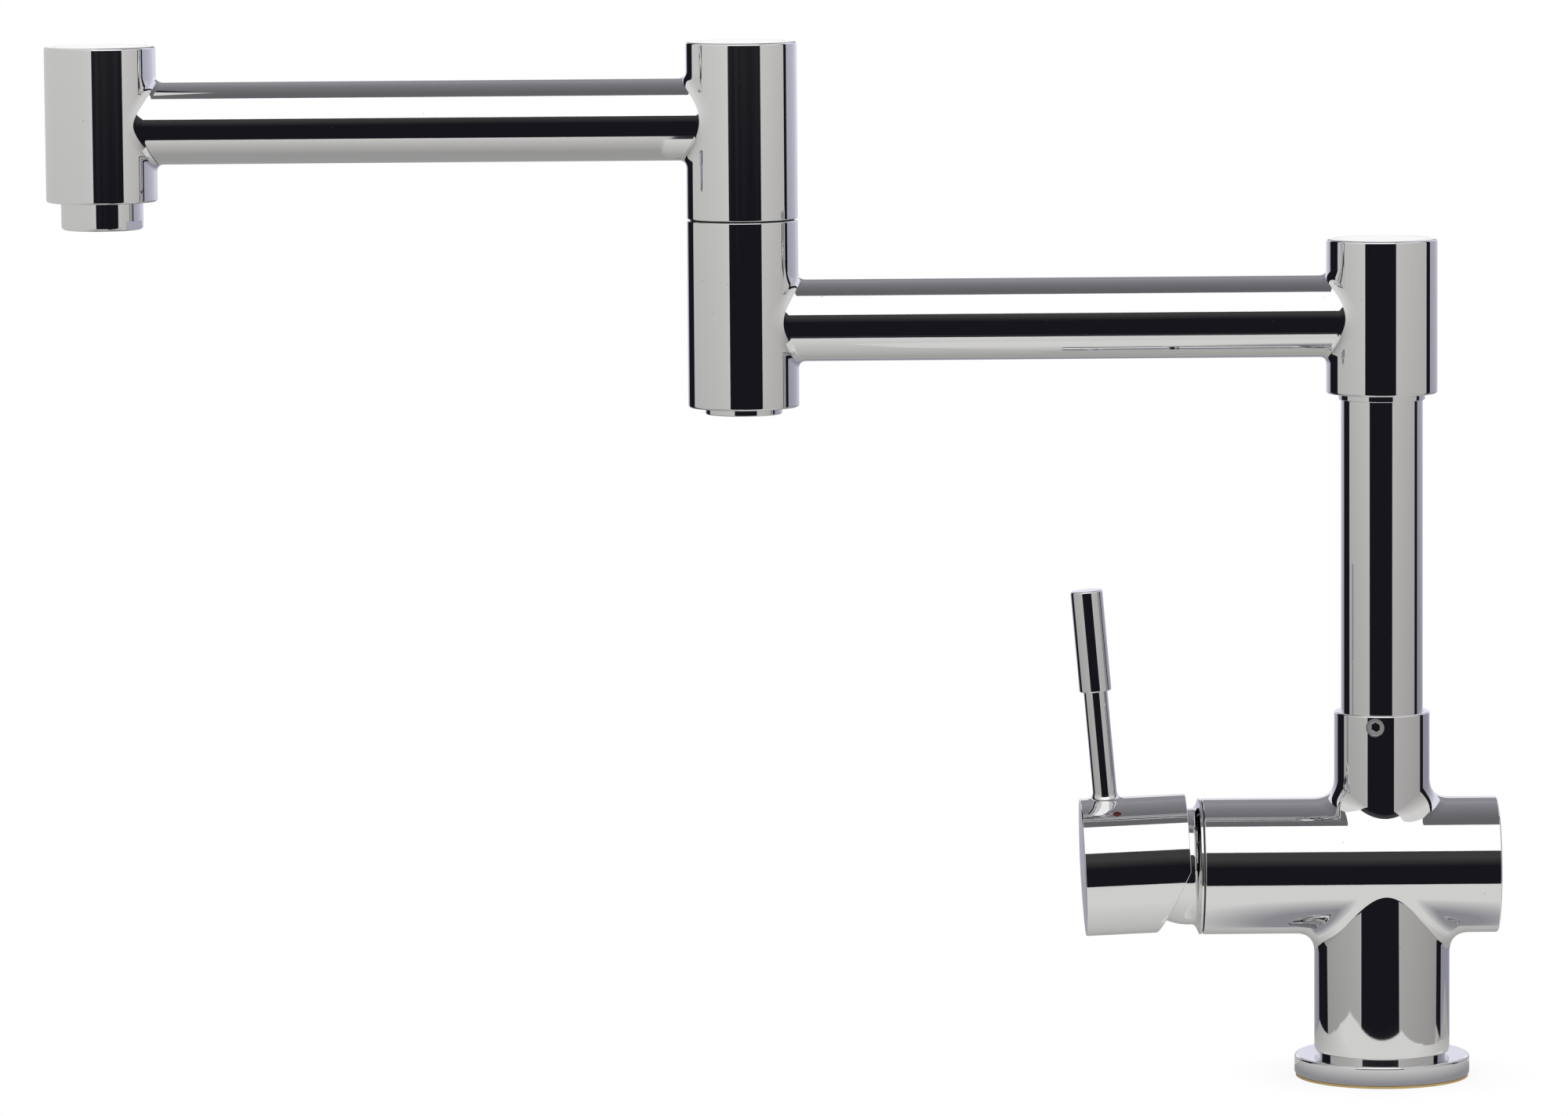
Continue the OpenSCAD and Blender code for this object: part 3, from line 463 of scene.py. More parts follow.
            turn = np.interp(drop, seen[0] - seen, dense)
            edge = outlet.edges(turn, radius)[2]
            edge_arc = outlet.bearing(edge)
            t = np.linspace(0, 1, PANEL_STEPS)[:, None]
            ray = rays(outlet.at + edge_arc + t * (arc - edge_arc))
            up = edge[:, 2] + t * (level - edge[:, 2])
            self.patch(place, ray * radius + up[..., None] * UP, ray)
            self.outlet(place, radius, outlet, turn)
            found.append(turn)
        self.patch(place, rays(angles) * radius + heights[:, None, None] * UP, rays(angles))
        self.cells[-1] = self.cells[-1][keep.reshape(-1)]
        return found

    def piece(self) -> bpy.types.Object:
        """Welds points that coincide, drops what the weld made empty, and gives the object, in metres."""
        points, normals, cells = np.vstack(self.points), np.vstack(self.normals), np.vstack(self.cells)
        spots = np.round(points / WELD).astype(np.int64)
        _, first, welded = np.unique(spots, axis=0, return_index=True, return_inverse=True)
        quads = welded.reshape(-1)[cells]
        apart = quads != np.roll(quads, -1, axis=1)
        whole = apart.sum(1) > 2
        use = apart & whole[:, None]
        starts = np.concatenate([[0], np.cumsum(use.sum(1)[whole])])[:-1]
        mesh = bpy.data.meshes.new(self.name)
        mesh.vertices.add(len(first))
        mesh.vertices.foreach_set("co", (points[first] * METRES).ravel())
        mesh.loops.add(int(use.sum()))
        mesh.loops.foreach_set("vertex_index", quads[use].astype(np.int32))
        mesh.polygons.add(len(starts))
        mesh.polygons.foreach_set("loop_start", starts.astype(np.int32))
        mesh.polygons.foreach_set("use_smooth", np.ones(len(starts), bool))
        mesh.update(calc_edges=True)
        mesh.normals_split_custom_set(normals[cells][use].tolist())
        return linked(self.name, mesh)


class Number:
    """A shader socket that takes Python's operators; each one adds a Math node."""

    def __init__(self, graph: "Graph", socket: bpy.types.NodeSocket) -> None:
        """Wraps one output of the graph."""
        self.graph = graph
        self.socket = socket

    def _math(self, operation: str, *values: object) -> "Number":
        """A Math node on these values, in order."""
        return self.graph.node("ShaderNodeMath", {"operation": operation}, dict(enumerate(values)))

    def __add__(self, other: object) -> "Number":
        """Sum."""
        return self._math("ADD", self, other)

    def __radd__(self, other: object) -> "Number":
        """Sum, the other way round."""
        return self._math("ADD", other, self)

    def __rsub__(self, other: object) -> "Number":
        """A plain number less this one."""
        return self._math("SUBTRACT", other, self)

    def __mul__(self, other: object) -> "Number":
        """Product."""
        return self._math("MULTIPLY", self, other)

    def below(self, limit: float, soft: float) -> "Number":
        """1 under the limit and 0 over it, with a soft step of this width between."""
        return self.graph.node(
            "ShaderNodeMapRange", {"interpolation_type": "SMOOTHSTEP"},
            {"Value": self, "From Min": limit, "From Max": limit + soft, "To Min": 1.0, "To Max": 0.0})


class Graph:
    """The nodes of one material or of the world."""

    def __init__(self, name: str, world: bool = False) -> None:
        """An empty node tree.

        Args:
            name: name of the material or world.
            world: whether it is the world's tree.
        """
        self.owner = bpy.data.worlds.new(name) if world else bpy.data.materials.new(name)
        self.owner.use_nodes = True
        self.tree = self.owner.node_tree
        self.tree.nodes.clear()
        self.end = self.node("ShaderNodeOutputWorld" if world else "ShaderNodeOutputMaterial", pick=None)

    def node(
        self, kind: str, settings: dict | None = None, inputs: dict | None = None, pick: object = 0,
    ) -> object:
        """Adds any node: its settings are set first, then the values or links of its sockets.

        Args:
            kind: the node's type.
            settings: its own settings, a ramp's stops under "stops" among them.
            inputs: socket name or number to a value, a Number or a socket.
            pick: name or number of the output that comes back, or None for the node.

        Returns:
            The output as a Number, or the node.
        """
        made = self.tree.nodes.new(kind)
        for key, value in (settings or {}).items():
            if key == "stops":
                ramp = made.color_ramp
                while len(ramp.elements) < len(value):
                    ramp.elements.new(0.5)
                for element, (at, colour) in zip(ramp.elements, value):
                    element.position, element.color = at, (*colour, 1.0)
            else:
                setattr(made, key, value)
        for key, value in (inputs or {}).items():
            socket = made.inputs[key]
            if isinstance(value, Number):
                self.tree.links.new(value.socket, socket)
            else:
                socket.default_value = value
        return made if pick is None else Number(self, made.outputs[pick])

    def where(self) -> Number:
        """Object coordinates, in metres."""
        return self.node("ShaderNodeTexCoord", pick="Object")

    def distance(self) -> Number:
        """Distance from the origin, in metres."""
        return self.node("ShaderNodeVectorMath", {"operation": "LENGTH"}, {0: self.where()}, "Value")

    def noise(self, scale: float, detail: float, stretch: Triple = (1.0, 1.0, 1.0)) -> Number:
        """Noise of this scale per metre on Object coordinates, stretched along the axes."""
        spot = self.node("ShaderNodeVectorMath", {"operation": "MULTIPLY"}, {0: self.where(), 1: stretch})
        return self.node("ShaderNodeTexNoise", {}, {"Vector": spot, "Scale": scale, "Detail": detail}, "Fac")

    def blend(self, share: Number, first: Triple, second: Triple) -> Number:
        """Colour that goes from the first to the second as the share goes from 0 to 1."""
        return self.node("ShaderNodeMix", {"data_type": "RGBA"},
                         {"Factor": share, 6: (*first, 1.0), 7: (*second, 1.0)}, 2)

    def surface(
        self, colour: Number, metallic: float, roughness: Number, height: Number,
    ) -> bpy.types.Material:
        """Ends the tree with a plain surface over a fine relief.

        Args:
            colour: base colour.
            metallic: 1 for a metal, else 0.
            roughness: how dull it is.
            height: height of the relief, in metres.

        Returns:
            The material.
        """
        bump = self.node("ShaderNodeBump", {}, {"Strength": 1.0, "Distance": 1.0, "Height": height})
        return self.finish(self.node("ShaderNodeBsdfPrincipled", {}, {
            "Base Color": colour, "Metallic": metallic, "Roughness": roughness, "Normal": bump}))

    def finish(self, shader: Number) -> bpy.types.ID:
        """Links the last shader to the output and gives the material or world."""
        self.tree.links.new(shader.socket, self.end.inputs["Surface"])
        return self.owner


@dataclass(frozen=True)
class Mirror:
    """Mirror-polished steel: slow waves of the polish, fine turning lines, wiped smears and a few pits.

    Waves and lines have their heights in metres. Smears, lines and pits each add their roughness.
    """

    name: str
    tint: Triple = (0.80, 0.80, 0.805)
    pit_colour: Triple = (0.12, 0.11, 0.11)
    pit_shade: float = 0.7
    roughness: float = 0.014
    smear_rough: float = 0.02
    line_rough: float = 0.012
    pit_rough: float = 0.3
    wave_h: float = 6e-6
    line_h: float = 4e-7
    stretch: Triple = (1.0, 1.0, 30.0)

    def material(self) -> bpy.types.Material:
        """Builds the finish."""
        g = Graph(self.name)
        smear = g.noise(70, 3)
        line = g.noise(160, 4, self.stretch)
        pits = g.node("ShaderNodeTexVoronoi", {"feature": "F1"}, {"Vector": g.where(), "Scale": 130.0},
                      "Distance")
        pit = pits.below(0.018, 0.012)
        rough = self.roughness + smear * self.smear_rough + line * self.line_rough + pit * self.pit_rough
        colour = g.blend(pit * self.pit_shade, self.tint, self.pit_colour)
        return g.surface(colour, 1.0, rough, g.noise(38, 1) * self.wave_h + line * self.line_h)


@dataclass(frozen=True)
class Matt:
    """Plastic, rubber, paint or dull metal, with mottled colour and a fine grain."""

    name: str
    colour: Triple
    shade: Triple
    roughness: float
    metallic: float = 0.0
    grain: float = 900.0
    grain_h: float = 8e-6
    grain_rough: float = 0.12

    def material(self) -> bpy.types.Material:
        """Builds the finish."""
        g = Graph(self.name)
        cloud = g.noise(self.grain / 6, 3)
        grain = g.noise(self.grain, 4)
        colour = g.blend(cloud, self.colour, self.shade)
        rough = self.roughness + grain * self.grain_rough
        return g.surface(colour, self.metallic, rough, grain * self.grain_h)


@dataclass(frozen=True)
class Card:
    """A sheet of the studio that only reflections see, with a colour that may fade to another.

    The share of the fade at a spot is fade_way . spot + fade_from. A round fade takes the spot's distance
    times fade_way's X in place of the product.
    """

    name: str
    corners: tuple[Triple, ...]
    colour: Triple
    fade: Triple | None = None
    fade_way: Triple = (0.0, 0.0, 0.0)
    fade_from: float = 0.0
    round_fade: bool = False
    streak: float = 0.0

    def hang(self) -> None:
        """Makes the sheet and hides it from the camera and from soft light."""
        made = sheet(self.name, self.corners)
        made.visible_camera = made.visible_diffuse = made.visible_shadow = False
        g = Graph(self.name)
        glow = {"Strength": 1.0, "Color": (*self.colour, 1.0)}
        if self.fade:
            if self.round_fade:
                along = g.distance() * self.fade_way[0]
            else:
                along = g.node("ShaderNodeVectorMath", {"operation": "DOT_PRODUCT"},
                               {0: g.where(), 1: self.fade_way}, "Value")
            share = along + self.fade_from
            if self.streak:
                share = share + g.noise(4.0, 2, (1.0, 1.0, 0.06)) * self.streak
            glow["Color"] = g.blend(share, self.colour, self.fade)
        made.data.materials.append(g.finish(g.node("ShaderNodeEmission", {}, glow)))


@dataclass
class Studio:
    """Pale floor, soft lamps, and the cards that the polished metal mirrors."""

    camera_at: Triple = (-0.21352, -2.78137, 0.48136)
    yaw: float = 0.003
    pitch: float = 0.1075
    roll: float = -0.0078
    lens: float = 187.2
    sensor: float = 36.0
    middle: Triple = (-0.2, 0.0, 0.2)
    floor_half: float = 3.0
    pool_from: float = 0.015
    pool_width: float = 0.045
    pool_depth: float = 0.16

    def camera(self) -> None:
        """Camera at the photograph's place: looks along yaw and down by pitch, then rolls."""
        y, p, r = self.yaw, self.pitch, self.roll
        ahead = np.array([math.sin(y) * math.cos(p), math.cos(y) * math.cos(p), -math.sin(p)])
        right = np.array([math.cos(y), -math.sin(y), 0.0])
        up = np.cross(right, ahead)
        right, up = math.cos(r) * right + math.sin(r) * up, -math.sin(r) * right + math.cos(r) * up
        data = bpy.data.cameras.new("camera")
        data.lens, data.sensor_width, data.sensor_fit = self.lens, self.sensor, "HORIZONTAL"
        data.clip_start, data.clip_end = 0.1, 30.0
        bpy.context.scene.camera = self.stand("camera", data, right, up, -ahead, self.camera_at)

    def lamp(self, name: str, at: Triple, size: float, power: float) -> None:
        """A square lamp that looks at the mixer's middle and stays out of reflections."""
        data = bpy.data.lights.new(name, "AREA")
        data.shape, data.size, data.energy = "SQUARE", size, power
        back = unit(np.array(at) - self.middle)
        side = unit(np.cross(UP, back))
        self.stand(name, data, side, np.cross(back, side), back, at).visible_glossy = False

    @staticmethod
    def stand(name: str, data: bpy.types.ID, *columns: Sequence[float]) -> bpy.types.Object:
        """Places a camera or lamp: the columns of its matrix are right, up, back and place."""
        made = linked(name, data)
        matrix = np.eye(4)
        matrix[:3] = np.stack([np.array(column, float) for column in columns], -1)
        made.matrix_world = Matrix(matrix.tolist())
        return made

    def floor(self) -> None:
        """Matt floor that the camera sees as white, but for the pool's depth of shaded paint at the foot."""
        h = self.floor_half
        made = sheet("floor", [(-h, -h, 0), (h, -h, 0), (h, h, 0), (-h, h, 0)])
        made.visible_glossy = False
        g = Graph("floor")
        seen = g.node("ShaderNodeLightPath", pick="Is Camera Ray")
        far = g.distance()
        matt = g.node("ShaderNodeBsdfDiffuse", {}, {"Color": (0.86, 0.86, 0.86, 1.0)})
        glow = g.node("ShaderNodeEmission", {}, {"Color": (1.0, 1.0, 1.0, 1.0), "Strength": 1.0})
        share = seen * (1.0 - far.below(self.pool_from, self.pool_width) * self.pool_depth)
        mix = g.node("ShaderNodeMixShader", {}, {0: share, 1: matt, 2: glow})
        made.data.materials.append(g.finish(mix))

    def world(self) -> None:
        """White behind everything for the camera, grey for the rest."""
        g = Graph("studio", world=True)
        seen = g.node("ShaderNodeLightPath", pick="Is Camera Ray")
        colour = g.blend(seen, (0.55, 0.55, 0.56), (1.0, 1.0, 1.0))
        glow = g.node("ShaderNodeBackground", {}, {"Color": colour, "Strength": 1.0})
        bpy.context.scene.world = g.finish(glow)

    def cards(self) -> list[Card]:
        """The sheets round the mixer, from the reflections in its tubes.

        They make a white tent that opens to a dark room in front. None of them stands where the spout
        swings, so that no joint's pose brings an arm through one.
        """
        low, sill, lintel, top, back = -1.2, 0.38, 0.62, 1.5, 1.75
        dark, lilac, bright = (0.010, 0.010, 0.014), (0.30, 0.30, 0.36), (0.86, 0.86, 0.98)
        paling = (bright, (0.0, 0.4, 1.5), -0.25)

        def upright(name: str, a: Spot, b: Spot, colour: Triple, *fading: object, foot: float = low,
                    head: float = top) -> Card:
            """A vertical sheet between two spots of the floor."""
            return Card(name, ((*a, foot), (*b, foot), (*b, head), (*a, head)), colour, *fading)

        def level(name: str, z: float, spots: Sequence[Spot], colour: Triple, *fading: object) -> Card:
            """A flat sheet at one height."""
            return Card(name, tuple((x, y, z) for x, y in spots), colour, *fading)

        left_front, left_back, left_rear = (-0.611, -0.755), (-0.475, 0.15), (-0.53, 0.60)
        right_front, right_back, right_rear = (0.281, -0.604), (0.525, 0.092), (0.438, 0.186)
        corner_left, corner_right = (-0.75, back), (0.75, back)
        table = ((-0.18, -0.115), (-0.13, -0.14), (0.08, -0.155), (0.105, -0.06), (0.095, 0.025),
                 (0.07, 0.07), (-0.105, 0.085), (-0.115, 0.015), (-0.16, -0.045))
        # Painted shadow of the mixer on the table at its foot: a disc whose reflection is dark in the middle
        # and fades to pale at its edge.
        foot_shadow_disc = [(0.072 * x, min(0.072 * y, 0.02)) for x, y, _ in rays(around(30)).tolist()]
        return [
            upright("card_front", (-1.6, -1.6), (1.8, -1.6), dark, (0.055, 0.055, 0.055), (0.0, 0.0, 2.4),
                    -0.72, False, 0.5),
            Card("card_soft", ((-1.3, -0.75, 0.515), (1.3, -0.75, 0.515), (1.3, -0.30, top),
                               (-1.3, -0.30, top)), (1.25, 1.25, 1.27)),
            upright("card_left", left_front, left_back, (0.80, 0.80, 0.785), (0.25, 0.25, 0.243),
                    (0.0, 0.255, -1.236), 0.693),
            upright("card_left_edge", left_back, left_rear, dark),
            upright("card_left_back", left_rear, corner_left, lilac, *paling),
            upright("card_right", right_front, right_back, (0.76, 0.75, 0.742), (0.26, 0.25, 0.237),
                    (0.0, 0.30, -1.20), 0.742),
            upright("card_right_edge", right_back, right_rear, dark),
            upright("card_right_back", right_rear, corner_right, lilac, *paling),
            upright("card_back", corner_left, corner_right, lilac, *paling, head=sill),
            upright("card_back_white", corner_left, corner_right, (1.0, 1.0, 1.0), foot=sill, head=lintel),
            upright("card_back_high", corner_left, corner_right, (0.30, 0.30, 0.33), foot=lintel),
            level("card_over", top, ((-1.4, -0.30), (1.4, -0.30), (1.4, back), (-1.4, back)),
                  (0.15, 0.149, 0.160), (0.34, 0.34, 0.37), (0.0, 0.57, 0.0), 0.0),
            # Painted shade: the table's reflection fades darker towards the back, where the mixer shades it.
            level("card_table", 2e-4, table, (0.77, 0.765, 0.75), (0.34, 0.335, 0.33), (0.0, 6.0, 0.0), 0.35),
            # Painted shadow at the foot, seen only in reflections.
            level("card_painted_foot_shadow", 4e-4, foot_shadow_disc, (0.30, 0.30, 0.325), (0.75, 0.745, 0.73),
                  (30.0, 0.0, 0.0), -1.15, True),
            level("card_apron", -0.061, ((-0.25, -0.295), (0.53, -0.295), (0.53, 0.4), (-0.25, 0.4)),
                  (0.74, 0.735, 0.72), (0.42, 0.415, 0.40), (0.0, 2.4, 0.0), 0.55),
            level("card_sweep", -0.25, ((-0.6, -0.59), (-0.25, -0.59), (-0.25, back), (-0.6, back)),
                  (0.70, 0.69, 0.67), (0.38, 0.375, 0.37), (0.0, 1.6, 0.0), 0.95),
            level("card_below", low, ((-1.6, -1.6), (1.8, -1.6), (1.8, back), (-1.6, back)),
                  (0.03, 0.03, 0.035)),
        ]

    def build(self) -> None:
        """Sets up camera, lamps, floor, world and cards."""
        self.camera()
        self.lamp("lamp_front", (-0.7, -1.5, 1.5), 1.4, 16.0)
        self.lamp("lamp_side", (1.3, -0.7, 1.2), 1.0, 8.0)
        self.floor()
        self.world()
        for card in self.cards():
            card.hang()


class Workshop:
    """Finishes by slot, and the last steps that each new piece shares."""

    def __init__(self, frame: dict) -> None:
        """Builds the finishes.

        Args:
            frame: the loaded frame.
        """
        self.frame = frame
        self.finishes = {Slot.METAL: Mirror("polished_steel").material()}
        for slot, *look in (
            (Slot.GASKET, "gasket_rubber", (0.56, 0.41, 0.17), (0.44, 0.31, 0.11), 0.45),
            (Slot.SCREW, "screw_steel", (0.82, 0.82, 0.83), (0.70, 0.70, 0.71), 0.44, 1.0),
            (Slot.SEAL, "seal_rubber", (0.03, 0.03, 0.03), (0.05, 0.05, 0.05), 0.55),
            (Slot.CARTRIDGE, "cartridge_plastic", (0.72, 0.72, 0.70), (0.62, 0.62, 0.60), 0.40),
            (Slot.CERAMIC, "ceramic", (0.86, 0.84, 0.80), (0.80, 0.78, 0.74), 0.15),
            (Slot.BRASS, "turned_brass", (0.72, 0.50, 0.20), (0.62, 0.42, 0.15), 0.24, 1.0),
            (Slot.GLIDE, "glide_plastic", (0.80, 0.78, 0.72), (0.72, 0.70, 0.64), 0.38),
            (Slot.HOT, "hot_paint", (0.16, 0.018, 0.016), (0.10, 0.012, 0.012), 0.30),
            (Slot.COLD, "cold_paint", (0.012, 0.03, 0.16), (0.01, 0.02, 0.10), 0.30),
            (Slot.AERATOR, "aerator_plastic", (0.68, 0.69, 0.70), (0.58, 0.59, 0.60), 0.35),
        ):
            self.finishes[slot] = Matt(*look).material()
        self.groove = Matt("groove_shadow", (0.02, 0.02, 0.02), (0.035, 0.035, 0.035), 0.5).material()

    def fit(self, skin: Skin, body: Body, slot: Slot, node: str, dark: bool = False) -> None:
        """Makes a skin's mesh, gives it its finish and its body, and lets it stand for a CAD node.

        Args:
            skin: the gathered patches.
            body: what it rides on.
            slot: the record's material slot.
            node: CAD node that it replaces.
            dark: whether it lies in a groove and shows as its shadow.
        """
        made = skin.piece()
        made.data.materials.append(self.groove if dark else self.finishes[slot])
        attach(made, body.value)
        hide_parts(node)
        LOG.info("%s rides on %s, %d faces", made.name, body.value, len(made.data.polygons))

    def turned(self, name: str, place: Place, corners: Corners, body: Body, slot: Slot, node: str,
               dark: bool = False) -> None:
        """A turned piece; its chain of corners closes, unless it starts on the axis.

        Args:
            name: name of the piece.
            place: frame whose Z is its axis.
            corners: its chain of corners.
            body: what it rides on.
            slot: the record's material slot.
            node: CAD node that it replaces.
            dark: whether it shows as a groove's shadow.
        """
        skin = Skin(name)
        skin.chain(place, corners, closed=corners[0][0] > 0)
        self.fit(skin, body, slot, node, dark)

    def dress_frame(self) -> None:
        """Gives every CAD node its slot's finish."""
        slots = {row["node"]: row["material_slot"] for row in self.frame["record"]["subparts"]}
        for name, made in self.frame["nodes"].items():
            finish = self.finishes[Slot(slots[name])]
            if len(made.material_slots):
                for place in made.material_slots:
                    place.material = finish
            else:
                made.data.materials.append(finish)


def ring_loop(
    outer: float, bore: float, low: float, high: float, low_round: float = 0.0, high_round: float = 0.0,
) -> Corners:
    """Corners of a closed ring's section, starting halfway up its outer wall."""
    middle = (low + high) / 2
    return [(outer, middle), (outer, high, high_round), (bore, high), (bore, low), (outer, low, low_round)]


def disc_chain(radius: float, low: float, high: float, low_round: float, high_round: float) -> Corners:
    """Corners of a solid disc's half section, from its lower pole to its upper one."""
    return [(0.0, low), (radius, low, low_round), (radius, high, high_round), (0.0, high)]


@dataclass
class Foot:
    """Gasket, flange and body: stem, lying barrel and the collar for the riser, with its set screw.

    A panel is the half turn, in degrees, and the half height of the wall's part round a branch or bore.
    """

    gasket_top: float = 0.8
    gasket_r: float = 29.7
    gasket_bore: float = 20.4
    flange_r: float = 30.1
    flange_top: float = 7.5
    flange_round: float = 0.9
    foot_r: float = 20.0
    recess_r: float = 17.0
    recess_h: float = 20.0
    neck_r: float = 22.2
    stem_z: float = 9.0
    stem_r: float = 23.25
    barrel_z: float = 73.15
    barrel_r: float = 23.4
    barrel_left: float = 62.0
    barrel_right: float = 39.5
    barrel_round: float = 0.5
    nut_r: float = 20.03
    nut_h: float = 5.0
    seat_r: float = 17.43
    seat_h: float = 24.0
    collar_r: float = 16.35
    collar_top: float = 126.8
    collar_round: float = 0.7
    socket_r: float = 14.1
    socket_h: float = 26.0
    blend: float = 7.0
    stem_squeeze: float = 0.951
    stem_taper: float = 60.0
    stem_round: float = 0.3
    stem_panel: Spot = (93.0, 32.0)
    collar_panel: Spot = (80.0, 26.0)
    collar_start: float = 33.0
    screw_z: float = 122.8
    screw_r: float = 3.05
    screw_angle: float = 12.5
    screw_sunk: float = 0.9
    screw_h: float = 1.2
    screw_round: float = 0.35
    screw_wall: float = 0.6
    key_r: float = 1.5
    key_h: float = 1.6
    key_mouth: float = 1.35
    key_edge: float = 0.1
    clearance: float = 0.03

    @property
    def barrel(self) -> Place:
        """Frame of the barrel: Z to the lever, X up."""
        return Place(np.array([0.0, 0.0, self.barrel_z]), np.array([[0.0, 0, 1], [0, 1, 0], [-1, 0, 0]]))

    def body(self) -> Skin:
        """Stem, barrel and collar in one skin, with the bores that open outwards."""
        skin = Skin("body")
        barrel, r = self.barrel, self.barrel_r
        collar = Outlet(0.0, 0.0, self.collar_r, self.blend, self.blend, *self.collar_panel)
        stem = Outlet(math.pi, 0.0, self.stem_r, self.blend, self.blend, *self.stem_panel,
                      squeeze=self.stem_squeeze)
        left, right, edge = self.barrel_left, -self.barrel_right, self.barrel_round
        half = self.stem_panel[1] + 1
        rows = np.concatenate([[right + edge], np.linspace(-half, half, 45), [left - edge]])
        collar_turn, stem_turn = skin.wall(barrel, r, rows, [collar, stem])
        skin.chain(barrel, [(0.0, right), (r, right, edge), (r, right + edge)])
        seat = left - self.seat_h
        skin.chain(barrel, [
            (r, left - edge), (r, left, edge), (self.nut_r, left), (self.nut_r, left - self.nut_h),
            (self.seat_r, left - self.nut_h), (self.seat_r, seat), (0.0, seat)])
        self.collar(skin, collar, collar_turn)
        down = stem.frame(barrel)
        start, stem_end, floor = self.stem_taper, self.barrel_z - self.stem_z, self.barrel_z
        flange = self.barrel_z - self.flange_top
        skin.reach(barrel, r, stem, stem_turn, start)
        skin.chain(down, [
            (self.stem_r, start), (self.stem_r, stem_end, self.stem_round), (self.neck_r, stem_end),
            (self.neck_r, flange), (self.foot_r, flange), (self.foot_r, floor), (self.recess_r, floor),
            (self.recess_r, floor - self.recess_h), (0.0, floor - self.recess_h)], stem_turn)
        return skin

    def collar(self, skin: Skin, collar: Outlet, turn: np.ndarray) -> None:
        """Collar wall with the set screw's bore, its rim and the socket for the riser.

        Args:
            skin: the body's skin.
            collar: the branch that the collar is.
            turn: angles of its columns.
        """
        barrel = self.barrel
        up = collar.frame(barrel)
        start, top = self.collar_start, self.collar_top - self.barrel_z
        skin.reach(barrel, self.barrel_r, collar, turn, start)
        middle = self.screw_z - self.barrel_z
        half = top - self.collar_round - middle
        at = -math.pi / 2 + math.radians(self.screw_angle)
        bore = Outlet(at, middle, self.screw_r + self.clearance, -0.06, 0.06, 14, half)
        rows = np.concatenate([[start], np.linspace(middle - half, middle + half, 13)])
        bore_turn = skin.wall(up, self.collar_r, rows, [bore], turn)[0]
        skin.reach(up, self.collar_r, bore, bore_turn, self.socket_r + self.screw_wall, shut=True)
        skin.chain(up, [
            (self.collar_r, middle + half), (self.collar_r, top, self.collar_round), (self.socket_r, top),
            (self.socket_r, top - self.socket_h), (0.0, top - self.socket_h)], turn)

    def screw(self) -> Skin:
        """Set screw with a hexagon socket, whose radius is apothem / cos of the angle to its flat."""
        skin = Skin("set_screw")
        a = math.radians(90 + self.screw_angle)
        out = np.array([math.cos(a), -math.sin(a), 0.0])
        place = Place(self.screw_z * UP, np.array([UP, np.cross(out, UP), out]))
        angles, sixth = around(240), math.pi / 3
        face, mouth, back = self.collar_r - self.screw_sunk, self.key_r * self.key_mouth, self.screw_h
        skin.chain(place, [
            (0.0, face - back), (self.screw_r, face - back), (self.screw_r, face, self.screw_round),
            (mouth, face),
        ], angles)
        ray, flat = rays(angles), np.floor(angles / sixth) * sixth + sixth / 2
        key = ray * (self.key_r / np.cos(angles - flat))[:, None]
        edge, end = key + (face - self.key_edge) * UP, (face - self.key_h) * UP
        skin.patch(place, np.stack([ray * mouth + face * UP, edge]), UP)
        skin.patch(place, np.stack([edge, key + end]), -rays(flat))
        skin.patch(place, np.stack([key + end, 0 * key + end]), UP)
        return skin

    def build(self, shop: Workshop) -> None:
        """Makes the foot's pieces.

        Args:
            shop: the workshop.
        """
        ground = Place.upright()
        shop.turned("gasket", ground,
                    ring_loop(self.gasket_r, self.gasket_bore, 0.0, self.gasket_top, 0.1, 0.2),
                    Body.BASE, Slot.GASKET, "deck_gasket")
        shop.turned("flange", ground, ring_loop(
            self.flange_r, self.foot_r + self.clearance, self.gasket_top, self.flange_top, self.flange_round,
            self.flange_round), Body.BASE, Slot.METAL, "base_flange")
        shop.fit(self.body(), Body.BASE, Slot.METAL, "mixer_body")
        shop.fit(self.screw(), Body.BASE, Slot.SCREW, "spout_screw")


